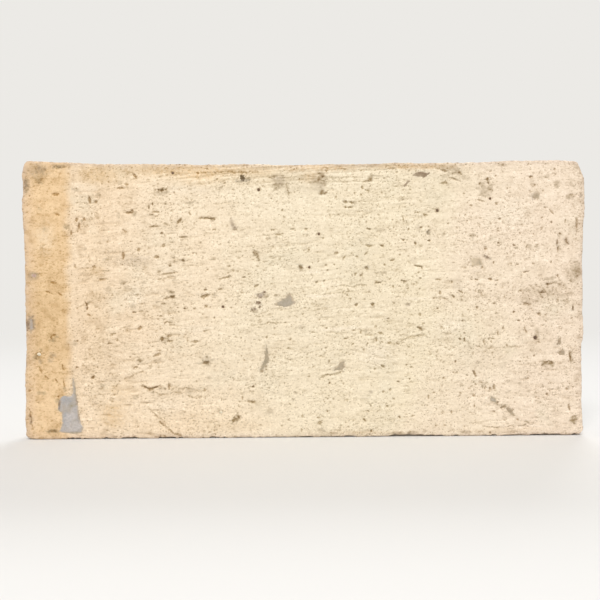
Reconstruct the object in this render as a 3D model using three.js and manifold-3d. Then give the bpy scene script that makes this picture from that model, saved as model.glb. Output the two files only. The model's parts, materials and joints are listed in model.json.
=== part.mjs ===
// An old ceramic tile, standing upright on a long edge: the unglazed, scraped back looks towards -Y and
// the glazed face towards +Y. Millimetres, +Z up. The origin is under the middle of the slab, on the
// surface that the tile stands on.

import * as THREE from 'three';
import { mergeVertices } from 'three/addons/utils/BufferGeometryUtils.js';
import Module from 'manifold-3d';

const wasm = await Module();
wasm.setup();

// Driving dimensions of the slab
const WIDTH = 305;
const HEIGHT = 150;
const THICKNESS = 12;
const GLAZE = 0.625;

const BACK_Y = -THICKNESS / 2;
const FACE_Y = THICKNESS / 2;
const BISCUIT_FACE_Y = FACE_Y - GLAZE;

// Clearance between a scrap or grain and the clay that holds it
const GAP = 0.3;

// Hollows in the back and the scraps of bedding mortar that fill them, with the ease of their rims
const HOLLOW_DEPTH = 1.2;
const HOLLOW_EASE = 0.1;
const SCRAP_SINK = 0.2;
const SCRAP_EASE = 0.12;

// Depth of the streak holes and of the folds that the scraping left, as shares of their width
const HOLE_DEPTH_SHARE = 0.75;
const LAP_DEPTH_SHARE = 0.6;

// How far a grain's top lies under the back, and how flat the grain is
const GRAIN_SINK = 0.08;
const GRAIN_FLATNESS = 0.65;

// How far a cutter stands out of the back before it cuts
const CUTTER_PROUD = 1;

// Sections through the clay, from the back to the glaze. ragged is how much of the back arris's wander
// is left there, inset is how far the section is drawn in, and on flatFoot the bottom edge is straight.
const CLAY_SECTIONS = [
  { y: BACK_Y, ragged: 1, inset: 1.2, flatFoot: false },
  { y: BACK_Y + 0.4, ragged: 1, inset: 0.4, flatFoot: false },
  { y: BACK_Y + 1.1, ragged: 1, inset: 0, flatFoot: false },
  { y: BACK_Y + 2.4, ragged: 0.75, inset: 0, flatFoot: true },
  { y: BISCUIT_FACE_Y, ragged: 0.45, inset: 0, flatFoot: true },
];

// Sections through the glaze, from the clay to the shiny face, whose rim is rounded.
const GLAZE_SECTIONS = [
  { y: BISCUIT_FACE_Y, ragged: 0.45, inset: 0, flatFoot: true },
  { y: FACE_Y - 0.25, ragged: 0.45, inset: 0.15, flatFoot: true },
  { y: FACE_Y, ragged: 0.45, inset: 0.7, flatFoot: true },
];

// How far the back arris wanders from the straight edge, outwards above zero. Each row is the place along
// the edge, x or z, and the wander there. The bottom edge only rises from the surface it stands on.
const BOTTOM_RISE = [
  [-144, 0.3], [-137, 0.55], [-130, 0.15], [-122, 0.5], [-115, 0.6], [-109, 1.0], [-101, 0.2],
  [-93, 0.65], [-87, 0.35], [-81, 1.2], [-75, 1.35], [-69, 0.8], [-65, 0.5], [-61, 0.95], [-56, 0.6],
  [-47, 1.0], [-40, 1.0], [-35, 0.6], [-30, 1.0], [-26, 0.55], [-21, 1.1], [-12, 0.5], [-5, 0.6],
  [3, 1.2], [10, 1.15], [18, 0.9], [31, 0.55], [43, 0.75], [48, 1.3], [53, 1.7], [60, 1.8],
  [64, 1.3], [68, 0.75], [75, 0.45], [86, 0.25], [93, 0], [99, 0.45], [110, 0.4], [120, 0.65],
  [128, 0.9], [136, 1.1], [142, 1.1], [146, 0.2],
];
const RIGHT_WANDER = [
  [6, 0.4], [12, 0.2], [18, -0.2], [29, -0.1], [37, -0.3], [42, -0.9], [46, -1.4], [50.5, -0.5],
  [54, 0.5], [59.5, 0.6], [68, 0], [77, 0.1], [86, -0.1], [95, -0.5], [101, -0.25], [110, 0],
  [117, 0], [121, 0.8], [127, 0.8], [134, 0.4],
];
const TOP_WANDER = [
  [143, 1.1], [137, 1.4], [124, 1.2], [112, 1.25], [103, 0.75], [95, 0.4], [86, 0.3], [76, 0.25],
  [65, 0], [54, 0.4], [43, 0.05], [33, -0.25], [22, -0.4], [14, -0.2], [2, -0.5], [-7, -0.8],
  [-14, -0.65], [-24, -0.25], [-34, 0], [-46, -0.2], [-57, -0.3], [-68, 0.1], [-77, 0], [-88, 0.25],
  [-101, 0.2], [-111, 0.3], [-119, 0.65], [-126, 1.15], [-133, 1.3], [-140, 1.6], [-146, 2.0],
];
const LEFT_WANDER = [
  [140, 0.1], [135, -0.1], [131, 0.6], [126, 0.6], [121, 0.3], [115, 0.1], [108, -0.2], [98, -0.4],
  [92, -1.4], [87.5, -0.5], [82, -0.2], [70, -0.2], [60, -0.3], [50, -0.3], [42, 0.1], [36, 0.6],
  [30, 0.7], [22, 0.3], [17, 0.7], [9, 0.8],
];

// Corners, as rows of the worn point at the back arris, x and z, and of the same point on a sound tile.
// The top right corner has a piece broken off.
const BOTTOM_RIGHT_CORNER = [
  [149.5, 0.5, 150.5, 0], [152, 0.9, 152.2, 0.4], [152.9, 2.2, 152.5, 2],
];
const TOP_RIGHT_CORNER = [
  [153, 139.2, 152.5, 141], [152.8, 141.6, 152.5, 145], [151.7, 144, 152.5, 147.4],
  [150.6, 146.2, 152.2, 149.2], [149.9, 148.6, 151.2, 149.9], [149.2, 150.1, 149.6, 150],
  [147.8, 150.8, 147.5, 150],
];
const TOP_LEFT_CORNER = [
  [-149.6, 152, -149.5, 150], [-151.3, 150.8, -151.6, 149.8], [-152, 148.4, -152.4, 148.4],
  [-152.9, 144.6, -152.5, 144.5],
];
const BOTTOM_LEFT_CORNER = [
  [-153, 3.6, -152.5, 3], [-152.2, 1.5, -152, 0.9], [-150.2, 0.3, -150.4, 0], [-147.8, 0, -147.5, 0],
];

// Scraps of bedding mortar in the back, each with its outline as x and z on the back
const MORTAR_SCRAPS = {
  mortar_lower_left: [
    [-126.8, 35.3], [-127.3, 31], [-127.3, 25.2], [-128.6, 23.6], [-132.6, 24.2], [-134.4, 22.3],
    [-135.3, 21], [-135.9, 16.5], [-134.6, 15.2], [-133.2, 14.8], [-133.4, 9], [-134.2, 6],
    [-135.3, 4.2], [-130, 3.4], [-127, 3], [-124.5, 3.3], [-122.3, 3.8], [-121.6, 6.8],
    [-123.1, 8.5], [-124.2, 15.3], [-124.6, 20.5], [-125.3, 27.5],
  ],
  mortar_centre_wedge: [
    [-16.3, 73.2], [-14, 72.4], [-11, 71.4], [-9.3, 71.3], [-7.2, 72.8], [-5.5, 73.9], [-3.6, 74.7],
    [-6, 75.2], [-6.7, 77.2], [-7.3, 79], [-8, 80.1], [-9.4, 79.4], [-10.3, 77.2], [-12, 76.3],
    [-14.5, 75],
  ],
  mortar_sickle: [
    [-21.1, 53.2], [-21.7, 49.5], [-22.1, 46.5], [-22.3, 43.5], [-23.2, 41], [-24.2, 38.9],
    [-25.4, 38], [-23.6, 36.7], [-21.2, 40], [-19.9, 41.5], [-19.3, 43.8], [-19.9, 47], [-20.4, 50],
  ],
  mortar_right_wedge: [
    [15.3, 37.5], [15.9, 37], [17.3, 36.9], [19.5, 36.8], [21, 36.9], [22, 38.6], [22.1, 40.2],
    [21.8, 42.3], [20.3, 42], [19, 41.4], [18.3, 40], [17.3, 38.8],
  ],
  mortar_top_right: [
    [59.4, 143.4], [61.5, 142.6], [64, 142.4], [65.3, 141.8], [66.8, 142.8], [68.5, 143.8],
    [69.4, 145.2], [67.5, 145], [63, 145.4], [60.9, 145.1],
  ],
  mortar_small_wedge: [
    [54.5, 137.3], [56, 138.3], [57.2, 139.2], [58.3, 140.2], [56.5, 140.6], [55.5, 139.2],
  ],
  mortar_right_spot: [
    [124.8, 131], [126.5, 130.2], [128.6, 130], [128.9, 131.5], [128.6, 133.3], [127.2, 133.8],
    [125.5, 132.8],
  ],
  mortar_right_square: [
    [91.5, 97.4], [91.8, 94.2], [94, 94.1], [97.2, 93.9], [97.7, 95], [97.3, 97], [96.3, 98],
    [94.5, 98.2], [92.5, 98.4],
  ],
  mortar_right_strip: [
    [138.6, 50.2], [140.9, 50], [141.2, 51.5], [141, 54], [139.6, 54], [138.9, 52.5],
  ],
  mortar_right_patch: [
    [138.6, 45.7], [140.3, 45], [141.8, 44.2], [143.2, 45], [143.2, 47], [142, 48.2], [140.5, 47.2],
  ],
  mortar_lower_green: [
    [101.7, 19], [103.5, 18.8], [105.4, 18.4], [106, 19.2], [105.3, 20.8], [103.5, 22],
    [102.3, 22.7], [102, 20.6],
  ],
  mortar_diagonal: [
    [110.4, 15.9], [110.6, 14.5], [112, 13.2], [113.5, 11.8], [115.5, 10.8], [116.4, 11.4],
    [115, 12.4], [113.9, 13.4], [114.6, 14], [115.2, 14.8], [114, 15.2], [112, 16.1],
  ],
  mortar_left_edge: [
    [-150.2, 62], [-149.9, 60.2], [-148.3, 60.6], [-147.9, 63], [-148.3, 65.8], [-149.4, 66.8],
    [-150.1, 65],
  ],
  mortar_left_upper: [
    [-149.3, 89.4], [-148.3, 88.7], [-146.4, 88.9], [-145.6, 90.2], [-146.6, 91.1], [-148.6, 91],
  ],
  mortar_top_smear: blotch(-33.3, 142, 2.7, 1.7, 80),
  mortar_centre_speck: blotch(-24, 78.3, 3.4, 2.1, 10),
};

// Dark iron grains and white lime grains in the clay, as x, z and diameter
const IRON_GRAINS = [
  [126.9, 54.2, 2.4], [72.8, 124.2, 2], [101.7, 130.6, 1.5], [8, 111.7, 1.5], [-71.2, 145.1, 1.6],
  [-24.6, 135.9, 1.8], [-44.6, 72.3, 1.5], [2.7, 93.6, 1.4],
];
const LIME_GRAINS = [[-145.3, 46.9, 2.4], [-46.2, 14.5, 2.2]];

// The larger holes and streak holes in the back, as x, z, length, width and turn in degrees
const STREAK_HOLES = [
  [-134.8, 134, 4.5, 1.6, 0], [-134, 123, 3, 1.5, -20], [-122.5, 116.5, 4, 1, 85],
  [-126.5, 113, 3, 1.2, 90], [-116.3, 130.7, 3.6, 1.4, 90], [-99.2, 137.1, 3.4, 1, 0],
  [-91.8, 143.8, 4, 1.2, -55], [-95.5, 124, 5, 1.2, 5], [-97.7, 114, 3.6, 1.1, -30],
  [-82, 116.4, 5.5, 1, 8], [-136.8, 86, 3.4, 1.5, 0], [-119, 73.5, 4.2, 1.1, 90],
  [-98.6, 100.5, 3.6, 1.2, 90], [-110, 87.6, 3.6, 1, 0], [-90, 61, 3, 1.8, 30],
  [-105, 57.8, 3.4, 1, 10], [-116.3, 34, 2.3, 1.5, 40], [-68, 119.2, 4, 1.2, 50],
  [-52.5, 120.6, 9, 1.2, 0], [-66, 110.5, 5.5, 1, 0], [-13.5, 111.7, 4.5, 1.2, 0],
  [-74, 90.6, 9, 1, 8], [-72.3, 77.8, 2.6, 1.6, 0], [-54, 78.4, 7, 1.3, 12],
  [-44, 88, 7, 1.1, 8], [-75, 64, 3, 1.5, 0], [-74.7, 28.8, 3, 1.1, 90], [-28.4, 28.4, 1.7, 1.3, 0],
  [25.8, 128.8, 2.4, 1.3, -10], [24.5, 126.3, 6, 1, 0], [35.2, 114.3, 3.5, 1.1, -20],
  [42.5, 105, 3, 1.5, -20], [60.8, 106.3, 2.4, 1.4, -45], [62.2, 94, 6, 1.1, -8],
  [54, 86, 4, 1.2, -10], [40.5, 85, 4, 1.1, 10], [6.8, 85.4, 1.8, 1.4, 0], [28.3, 73, 2, 1.5, -50],
  [37.4, 73.2, 2.3, 1.7, 20], [45.8, 65.3, 2.1, 1.1, 0], [62.8, 59.7, 3, 1.5, -20],
  [51.4, 30.5, 1.9, 1.1, 0], [42.6, 39, 2.6, 1.5, -20], [32.5, 9.5, 2.6, 1.1, -50],
  [124, 142.4, 2.3, 1.4, 0], [138.6, 107, 4, 1.2, -80], [143.8, 107, 4, 1.6, 70],
  [102.1, 86.7, 2.5, 1.4, 0], [94.4, 86.3, 2, 1.1, 0], [130.5, 79.1, 4, 1, 0],
  [121.4, 90.6, 3, 1, 5], [128.7, 67.3, 1.6, 1.5, 0], [114.9, 68.5, 1.5, 1.4, 0],
  [93.4, 34.8, 3.5, 1.1, -60], [121.8, 57.8, 3, 1.1, -55], [133.5, 23, 1.8, 1.5, 0],
];

// Folds and drag lines that the scraping left, as a width and the points of its run
const LAPS = [
  { width: 1, run: [[-90, 29], [-87.5, 28.5], [-85, 27.3], [-81, 28.8], [-77.5, 28.2]] },
  { width: 0.8, run: [[-85.5, 16.5], [-80.5, 12], [-74.8, 4.8], [-69.5, 2]] },
  { width: 0.8, run: [[-145, 38], [-143.5, 35.3], [-141.8, 33.7], [-140.5, 34.3]] },
  { width: 0.7, run: [[9.5, 34.7], [20.8, 36]] },
  { width: 0.9, run: [[20.3, 97.4], [22.6, 99.7]] },
  { width: 0.9, run: [[79.5, 142.5], [85.5, 140]] },
  { width: 0.9, run: [[94.5, 130], [99.3, 128.9]] },
  { width: 0.8, run: [[140, 86], [145, 82]] },
  { width: 0.8, run: [[83.9, 81], [87.5, 79]] },
  { width: 0.8, run: [[145.2, 46.5], [146.8, 41]] },
];

// Colours of the materials
const CLAY_COLOUR = 0xf0dcbc;
const GLAZE_COLOUR = 0xece9df;
const MORTAR_COLOUR = 0xb5a995;
const IRON_COLOUR = 0x3a2a20;
const LIME_COLOUR = 0xf4efe2;

// An uneven oval with eight points, as x, z, length, width and turn in degrees.
function blotch(x, z, length, width, turn) {
  const angle = THREE.MathUtils.degToRad(turn);
  const points = [];
  for (let i = 0; i < 8; i++) {
    const around = (i / 8) * 2 * Math.PI;
    const uneven = 1 - 0.1 * Math.cos(3 * around);
    const point = new THREE.Vector2(
      0.5 * length * uneven * Math.cos(around),
      0.5 * width * uneven * Math.sin(around),
    );
    point.rotateAround(new THREE.Vector2(0, 0), angle);
    points.push([x + point.x, z + point.y]);
  }
  return points;
}

// The outline of the slab, anticlockwise as seen from the back. Each point has its worn place at the back
// arris, its place on a sound tile, and whether it belongs to the edge that the tile stands on.
function outlinePoints() {
  const points = [];
  const add = (wornX, wornZ, soundX, soundZ, foot) => {
    points.push({
      worn: new THREE.Vector2(wornX, wornZ),
      sound: new THREE.Vector2(soundX, soundZ),
      foot,
    });
  };
  const addCorner = (rows) => rows.forEach((row) => add(...row, false));
  const side = WIDTH / 2;
  BOTTOM_RISE.forEach(([x, rise]) => add(x, rise, x, 0, true));
  addCorner(BOTTOM_RIGHT_CORNER);
  RIGHT_WANDER.forEach(([z, wander]) => add(side + wander, z, side, z, false));
  addCorner(TOP_RIGHT_CORNER);
  TOP_WANDER.forEach(([x, wander]) => add(x, HEIGHT + wander, x, HEIGHT, false));
  addCorner(TOP_LEFT_CORNER);
  LEFT_WANDER.forEach(([z, wander]) => add(-side - wander, z, -side, z, false));
  addCorner(BOTTOM_LEFT_CORNER);
  return points;
}

// The outline's points moved inwards by a distance, each along the mean of its two edges' normals.
function drawnIn(points, distance) {
  const count = points.length;
  return points.map((point, i) => {
    const before = points[(i + count - 1) % count];
    const after = points[(i + 1) % count];
    const along = after.clone().sub(before).normalize();
    const inwards = new THREE.Vector2(-along.y, along.x);
    return point.clone().addScaledVector(inwards, distance);
  });
}

// One section through the slab, as points with x and z.
function sectionPoints(outline, section) {
  const points = outline.map(({ worn, sound, foot }) => {
    const ragged = foot && section.flatFoot ? 0 : section.ragged;
    return sound.clone().lerp(worn, ragged);
  });
  return drawnIn(points, section.inset);
}

// A closed body through sections of equal point count, from the back one to the front one.
function loftedGeometry(outline, sections) {
  const rings = sections.map((section) => sectionPoints(outline, section));
  const count = outline.length;
  const positions = [];
  rings.forEach((ring, i) => {
    ring.forEach((point) => positions.push(point.x, sections[i].y, point.y));
  });
  const index = [];
  for (let i = 0; i + 1 < rings.length; i++) {
    for (let j = 0; j < count; j++) {
      const next = (j + 1) % count;
      const [a, b] = [i * count + j, i * count + next];
      const [c, d] = [a + count, b + count];
      index.push(a, c, d, a, d, b);
    }
  }
  const frontStart = (rings.length - 1) * count;
  for (const [a, b, c] of THREE.ShapeUtils.triangulateShape(rings[0], [])) {
    index.push(a, b, c);
  }
  for (const [a, b, c] of THREE.ShapeUtils.triangulateShape(rings.at(-1), [])) {
    index.push(frontStart + a, frontStart + c, frontStart + b);
  }
  const geometry = new THREE.BufferGeometry();
  geometry.setAttribute('position', new THREE.Float32BufferAttribute(positions, 3));
  geometry.setIndex(index);
  return geometry;
}

// A closed geometry as a solid that can be cut.
function solidOf(geometry) {
  const bare = geometry.clone();
  bare.deleteAttribute('normal');
  bare.deleteAttribute('uv');
  const merged = mergeVertices(bare);
  const mesh = new wasm.Mesh({
    numProp: 3,
    vertProperties: new Float32Array(merged.attributes.position.array),
    triVerts: new Uint32Array(merged.index.array),
  });
  return new wasm.Manifold(mesh);
}

// A solid as a geometry with flat faces.
function geometryOf(solid) {
  const { vertProperties, triVerts } = solid.getMesh();
  const geometry = new THREE.BufferGeometry();
  geometry.setAttribute('position', new THREE.Float32BufferAttribute(vertProperties, 3));
  geometry.setIndex(Array.from(triVerts));
  return geometry;
}

// A plate of an outline on the back. It reaches from its floor towards -Y by its height, and its sides
// swell by the grow distance between its two ends.
function plateGeometry(outline, floorY, height, grow, ease) {
  const shape = new THREE.Shape(outline.map(([x, z]) => new THREE.Vector2(x, z)));
  const geometry = new THREE.ExtrudeGeometry(shape, {
    depth: height - 2 * ease,
    steps: 1,
    bevelEnabled: true,
    bevelThickness: ease,
    bevelSize: ease,
    bevelOffset: grow - ease,
    bevelSegments: 1,
  });
  geometry.translate(0, 0, ease);
  geometry.rotateX(Math.PI / 2);
  geometry.translate(0, floorY, 0);
  return geometry;
}

// The hollow for one scrap: its outline grown by the gap, open towards the back.
function hollowSolid(outline) {
  const floorY = BACK_Y + HOLLOW_DEPTH;
  return solidOf(plateGeometry(outline, floorY, HOLLOW_DEPTH + CUTTER_PROUD, GAP, HOLLOW_EASE));
}

// The mortar in one hollow, clear of its floor and sides and just under the back's plane.
function scrapGeometry(outline) {
  const floorY = BACK_Y + HOLLOW_DEPTH - GAP;
  const height = HOLLOW_DEPTH - GAP - SCRAP_SINK;
  return plateGeometry(outline, floorY, height, 0, SCRAP_EASE);
}

// A flattened grain round its own centre, grown by a distance on all sides.
function grainGeometry(diameter, grow) {
  const radius = diameter / 2;
  const geometry = new THREE.IcosahedronGeometry(1, 1);
  geometry.scale(radius + grow, radius * GRAIN_FLATNESS + grow, radius + grow);
  return geometry;
}

// The centre of a grain that lies just under the back's plane.
function grainPlace([x, z, diameter]) {
  return new THREE.Vector3(x, BACK_Y + GRAIN_SINK + (diameter / 2) * GRAIN_FLATNESS, z);
}

// The socket of a grain in the clay.
function socketSolid(grain) {
  const [, , diameter] = grain;
  const place = grainPlace(grain);
  return solidOf(grainGeometry(diameter, GAP).translate(place.x, place.y, place.z));
}

// The cutter for one streak hole: a faceted lens centred on the back's plane.
function holeSolid([x, z, length, width, turn]) {
  const geometry = new THREE.IcosahedronGeometry(1, 0);
  geometry.scale(length / 2, width * HOLE_DEPTH_SHARE, width / 2);
  geometry.rotateY(-THREE.MathUtils.degToRad(turn));
  geometry.translate(x, BACK_Y, z);
  return solidOf(geometry);
}

// The cutter for one lap: a four-sided bar along each stretch of its run, centred on the back's plane.
function lapSolids({ width, run }) {
  return run.slice(1).map(([endX, endZ], i) => {
    const [startX, startZ] = run[i];
    const along = new THREE.Vector2(endX - startX, endZ - startZ);
    const geometry = new THREE.CylinderGeometry(width / 2, width / 2, along.length() + width / 2, 4);
    geometry.scale(2 * LAP_DEPTH_SHARE, 1, 1);
    geometry.rotateZ(Math.PI / 2);
    geometry.rotateY(-along.angle());
    geometry.translate((startX + endX) / 2, BACK_Y, (startZ + endZ) / 2);
    return solidOf(geometry);
  });
}

function joined(solids) {
  return solids.reduce((whole, solid) => whole.add(solid));
}

// A named mesh of one material.
function piece(name, geometry, color, roughness) {
  const material = new THREE.MeshStandardMaterial({ color, roughness, metalness: 0 });
  const mesh = new THREE.Mesh(geometry, material);
  mesh.name = name;
  return mesh;
}

// The fired clay, with its hollows, grain sockets, streak holes and laps cut into the back.
function biscuitBody(outline) {
  const slab = solidOf(loftedGeometry(outline, CLAY_SECTIONS));
  const hollows = Object.values(MORTAR_SCRAPS).map(hollowSolid);
  const sockets = [...IRON_GRAINS, ...LIME_GRAINS].map(socketSolid);
  const holes = STREAK_HOLES.map(holeSolid);
  const laps = LAPS.flatMap(lapSolids);
  const cutters = joined([...hollows, ...sockets, ...holes, ...laps]);
  return piece('biscuit_body', geometryOf(slab.subtract(cutters)), CLAY_COLOUR, 0.95);
}

function faceGlaze(outline) {
  return piece('face_glaze', loftedGeometry(outline, GLAZE_SECTIONS), GLAZE_COLOUR, 0.15);
}

function mortarScraps() {
  const group = new THREE.Group();
  for (const [name, scrapOutline] of Object.entries(MORTAR_SCRAPS)) {
    group.add(piece(name, scrapGeometry(scrapOutline), MORTAR_COLOUR, 0.95));
  }
  return group;
}

// The grains of one kind, each a mesh at its place.
function grains(rows, name, color, roughness) {
  const group = new THREE.Group();
  rows.forEach((row, i) => {
    const [, , diameter] = row;
    const grain = piece(`${name}_${i + 1}`, grainGeometry(diameter, 0), color, roughness);
    grain.position.copy(grainPlace(row));
    group.add(grain);
  });
  return group;
}

const outline = outlinePoints();
const tile = new THREE.Group();
tile.add(biscuitBody(outline), faceGlaze(outline), mortarScraps());
tile.add(grains(IRON_GRAINS, 'iron_grain', IRON_COLOUR, 0.6));
tile.add(grains(LIME_GRAINS, 'lime_grain', LIME_COLOUR, 0.9));

export default tile;
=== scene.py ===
"""An old oblong ceramic tile on its long edge, seen from its scraped, unglazed back.

Every length is in millimetres unless its name says otherwise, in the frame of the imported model: X along the
tile, Y from the back to the glazed face, Z up. Meshes are written in metres.
"""

from __future__ import annotations

import json
import logging
import math
from collections.abc import Iterator
from dataclasses import dataclass, field
from enum import Enum

import bpy
import numpy as np
from mathutils import Matrix, Vector

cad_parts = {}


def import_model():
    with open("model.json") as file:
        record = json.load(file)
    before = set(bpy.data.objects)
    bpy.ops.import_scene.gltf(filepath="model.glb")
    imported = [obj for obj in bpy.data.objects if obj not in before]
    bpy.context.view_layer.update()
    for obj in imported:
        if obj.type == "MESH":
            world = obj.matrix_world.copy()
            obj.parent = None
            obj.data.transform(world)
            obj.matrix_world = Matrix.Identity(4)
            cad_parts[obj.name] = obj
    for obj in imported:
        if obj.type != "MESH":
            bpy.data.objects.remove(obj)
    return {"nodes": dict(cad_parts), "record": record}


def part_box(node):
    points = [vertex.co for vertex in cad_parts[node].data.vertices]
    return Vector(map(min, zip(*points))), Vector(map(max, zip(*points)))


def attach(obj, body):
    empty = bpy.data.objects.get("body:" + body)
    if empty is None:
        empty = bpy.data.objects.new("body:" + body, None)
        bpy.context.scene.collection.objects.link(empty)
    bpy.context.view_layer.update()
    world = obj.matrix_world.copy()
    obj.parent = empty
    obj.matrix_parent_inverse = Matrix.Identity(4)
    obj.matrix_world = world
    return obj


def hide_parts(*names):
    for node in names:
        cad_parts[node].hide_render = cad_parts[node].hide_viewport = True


LOG = logging.getLogger("tile")
MM = 0.001
BODY = "root"

Socket = bpy.types.NodeSocket
Piece = bpy.types.Object
Tree = bpy.types.NodeTree
Material = bpy.types.Material
Array = np.ndarray
Rgb = tuple[float, float, float]


def srgb(red: int, green: int, blue: int) -> Rgb:
    """A colour given in 8-bit display values, as linear values.

    Args:
        red: Display red, 0 to 255.
        green: Display green.
        blue: Display blue.

    Returns:
        The linear colour.
    """
    shares = [value / 255 for value in (red, green, blue)]
    linear = [share / 12.92 if share <= 0.04045 else ((share + 0.055) / 1.055) ** 2.4 for share in shares]
    return (linear[0], linear[1], linear[2])


# Nodes


@dataclass
class Canvas:
    """Adds nodes to a shader tree or a geometry tree and links them.

    Every input may be a number, a tuple or another node's socket.

    Attributes:
        tree: The tree.
        place: The place that it works on, in millimetres.
        x: The place along the tile.
        y: Its depth.
        z: Its height above the lower edge.
    """

    tree: Tree
    place: Socket | None = None
    x: Socket | None = None
    y: Socket | None = None
    z: Socket | None = None

    def add(self, kind: str, inputs: dict | None = None, **settings: object) -> bpy.types.Node:
        """Adds one node.

        Args:
            kind: The node's type.
            inputs: Values or sockets by input name or index.
            **settings: The node's own properties.

        Returns:
            The new node.
        """
        node = self.tree.nodes.new(kind)
        for key, value in settings.items():
            setattr(node, key, value)
        for key, value in (inputs or {}).items():
            self.feed(node.inputs[key], value)
        return node

    def feed(self, target: Socket, value: object) -> None:
        """Links a socket to an input, or sets the input's own value.

        Args:
            target: The input.
            value: A socket or the value.
        """
        if isinstance(value, Socket):
            self.tree.links.new(value, target)
        else:
            target.default_value = value

    def math(self, operation: str, *values: object) -> Socket:
        """The result of one Math node."""
        return self.add("ShaderNodeMath", dict(enumerate(values)), operation=operation).outputs[0]

    def vector(self, operation: str, *values: object) -> Socket:
        """The result of one Vector Math node."""
        return self.add("ShaderNodeVectorMath", dict(enumerate(values)), operation=operation).outputs[0]

    def times(self, first: object, second: object) -> Socket:
        """The product of two numbers."""
        return self.math("MULTIPLY", first, second)

    def capped(self, first: object, second: object) -> Socket:
        """The product of two numbers, 1 at most."""
        return self.math("MINIMUM", self.times(first, second), 1.0)

    def shifted(self, place: Socket, by: object) -> Socket:
        """A place moved by a vector."""
        return self.vector("ADD", place, by)

    def measure(self, position: Socket) -> None:
        """Keeps the place in millimetres and its three parts, from a position in metres."""
        self.place = self.vector("MULTIPLY", position, (1 / MM,) * 3)
        self.x, self.y, self.z = self.parts(self.place)

    def flat(self) -> Socket:
        """The place with its depth taken out."""
        return self.vector("MULTIPLY", self.place, (1.0, 0.0, 1.0))

    def kept(self, name: str) -> Socket:
        """A number that is kept on the piece's points."""
        return self.add("ShaderNodeAttribute", attribute_name=name).outputs["Fac"]

    def parts(self, vector: Socket) -> tuple[Socket, Socket, Socket]:
        """A vector's three parts."""
        outputs = self.add("ShaderNodeSeparateXYZ", {0: vector}).outputs
        return outputs[0], outputs[1], outputs[2]

    def joined(self, x: object, y: object, z: object) -> Socket:
        """A vector of three parts."""
        return self.add("ShaderNodeCombineXYZ", {0: x, 1: y, 2: z}).outputs[0]

    def span(
        self, value: object, low: float, high: float, to: tuple[float, float] = (0, 1), soft: bool = True
    ) -> Socket:
        """A value brought from one range to another, clamped.

        Args:
            value: The value.
            low: Start of its range.
            high: End of its range.
            to: What the two ends become.
            soft: True for a smooth step, False for a straight line.

        Returns:
            The new value.
        """
        inputs = {"Value": value, "From Min": low, "From Max": high, "To Min": to[0], "To Max": to[1]}
        style = "SMOOTHSTEP" if soft else "LINEAR"
        return self.add("ShaderNodeMapRange", inputs, interpolation_type=style).outputs[0]

    def blend(self, factor: object, first: object, second: object, mode: str = "MIX") -> Socket:
        """Two colours mixed.

        Args:
            factor: How much of the second one is in the mix, a number or a socket.
            first: The first colour, as three numbers or a socket.
            second: The second colour, in the same way.
            mode: The way of mixing.

        Returns:
            The mixed colour.
        """
        node = self.add("ShaderNodeMix", data_type="RGBA", blend_type=mode)
        self.feed(node.inputs[0], factor)
        colours = [entry for entry in node.inputs if entry.type == "RGBA"]
        for target, value in zip(colours, (first, second)):
            self.feed(target, (*value, 1) if isinstance(value, tuple) else value)
        return next(entry for entry in node.outputs if entry.type == "RGBA")

    def darker(self, colour: Socket, levels: Socket, tint: Rgb, least: Rgb) -> Socket:
        """A colour darker by a number of 8-bit display levels.

        Args:
            colour: The colour.
            levels: The drop in levels.
            tint: The share of the drop that each channel takes.
            least: The darkest it gets, as display shares.

        Returns:
            The darker colour.
        """
        seen = self.add("ShaderNodeGamma", {"Color": colour, "Gamma": 1 / 2.2}).outputs[0]
        drop = self.math("DIVIDE", levels, 255.0)
        drop = self.vector("MULTIPLY", self.joined(drop, drop, drop), tint)
        seen = self.vector("MAXIMUM", self.vector("SUBTRACT", seen, drop), least)
        return self.add("ShaderNodeGamma", {"Color": seen, "Gamma": 2.2}).outputs[0]

    def total(self, *values: Socket) -> Socket:
        """The sum of several values.

        Args:
            values: One or more sockets.

        Returns:
            The sum's socket.
        """
        result = values[0]
        for value in values[1:]:
            result = self.math("ADD", result, value)
        return result

    def cells(self, place: Socket, along: float, across: float, turn: float) -> Socket:
        """A place in the back's plane, counted in cells of a size and turned.

        Args:
            place: The place as a vector in millimetres.
            along: A cell's size along X.
            across: Its size along Z.
            turn: How far the cells' long axis rises to the right, in degrees.

        Returns:
            The place in cells, in the vector's x and y.
        """
        x, _, z = self.parts(place)
        cosine, sine = math.cos(math.radians(turn)), math.sin(math.radians(turn))
        run = self.math("MULTIPLY_ADD", z, sine / along, self.times(x, cosine / along))
        rise = self.math("MULTIPLY_ADD", z, cosine / across, self.times(x, -sine / across))
        return self.joined(run, rise, 0.0)

    def noise(self, place: Socket, size: float = 1.0, detail: float = 2.0) -> Socket:
        """Noise about 0.5 at a place, in lumps of a size."""
        inputs = {"Vector": place, "Scale": 1 / size, "Detail": detail}
        return self.add("ShaderNodeTexNoise", inputs).outputs[0]

    def dress(
        self,
        colour: Socket,
        roughness: object,
        height: Socket,
        reach: float,
        strength: float = 1.0,
        specular: float = 0.5,
    ) -> None:
        """Gives a material's shader what it shows.

        Args:
            colour: Its colour.
            roughness: Its roughness.
            height: The relief too fine for the mesh.
            reach: The height of that relief.
            strength: How strongly it shows.
            specular: How bright the surface reflects.
        """
        bump = self.add("ShaderNodeBump", {"Strength": strength, "Distance": reach * MM, "Height": height})
        inputs = {"Base Color": colour, "Roughness": roughness, "Normal": bump.outputs[0]}
        inputs["Specular IOR Level"] = specular
        for title, value in inputs.items():
            self.feed(self.tree.nodes["Principled BSDF"].inputs[title], value)


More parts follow.
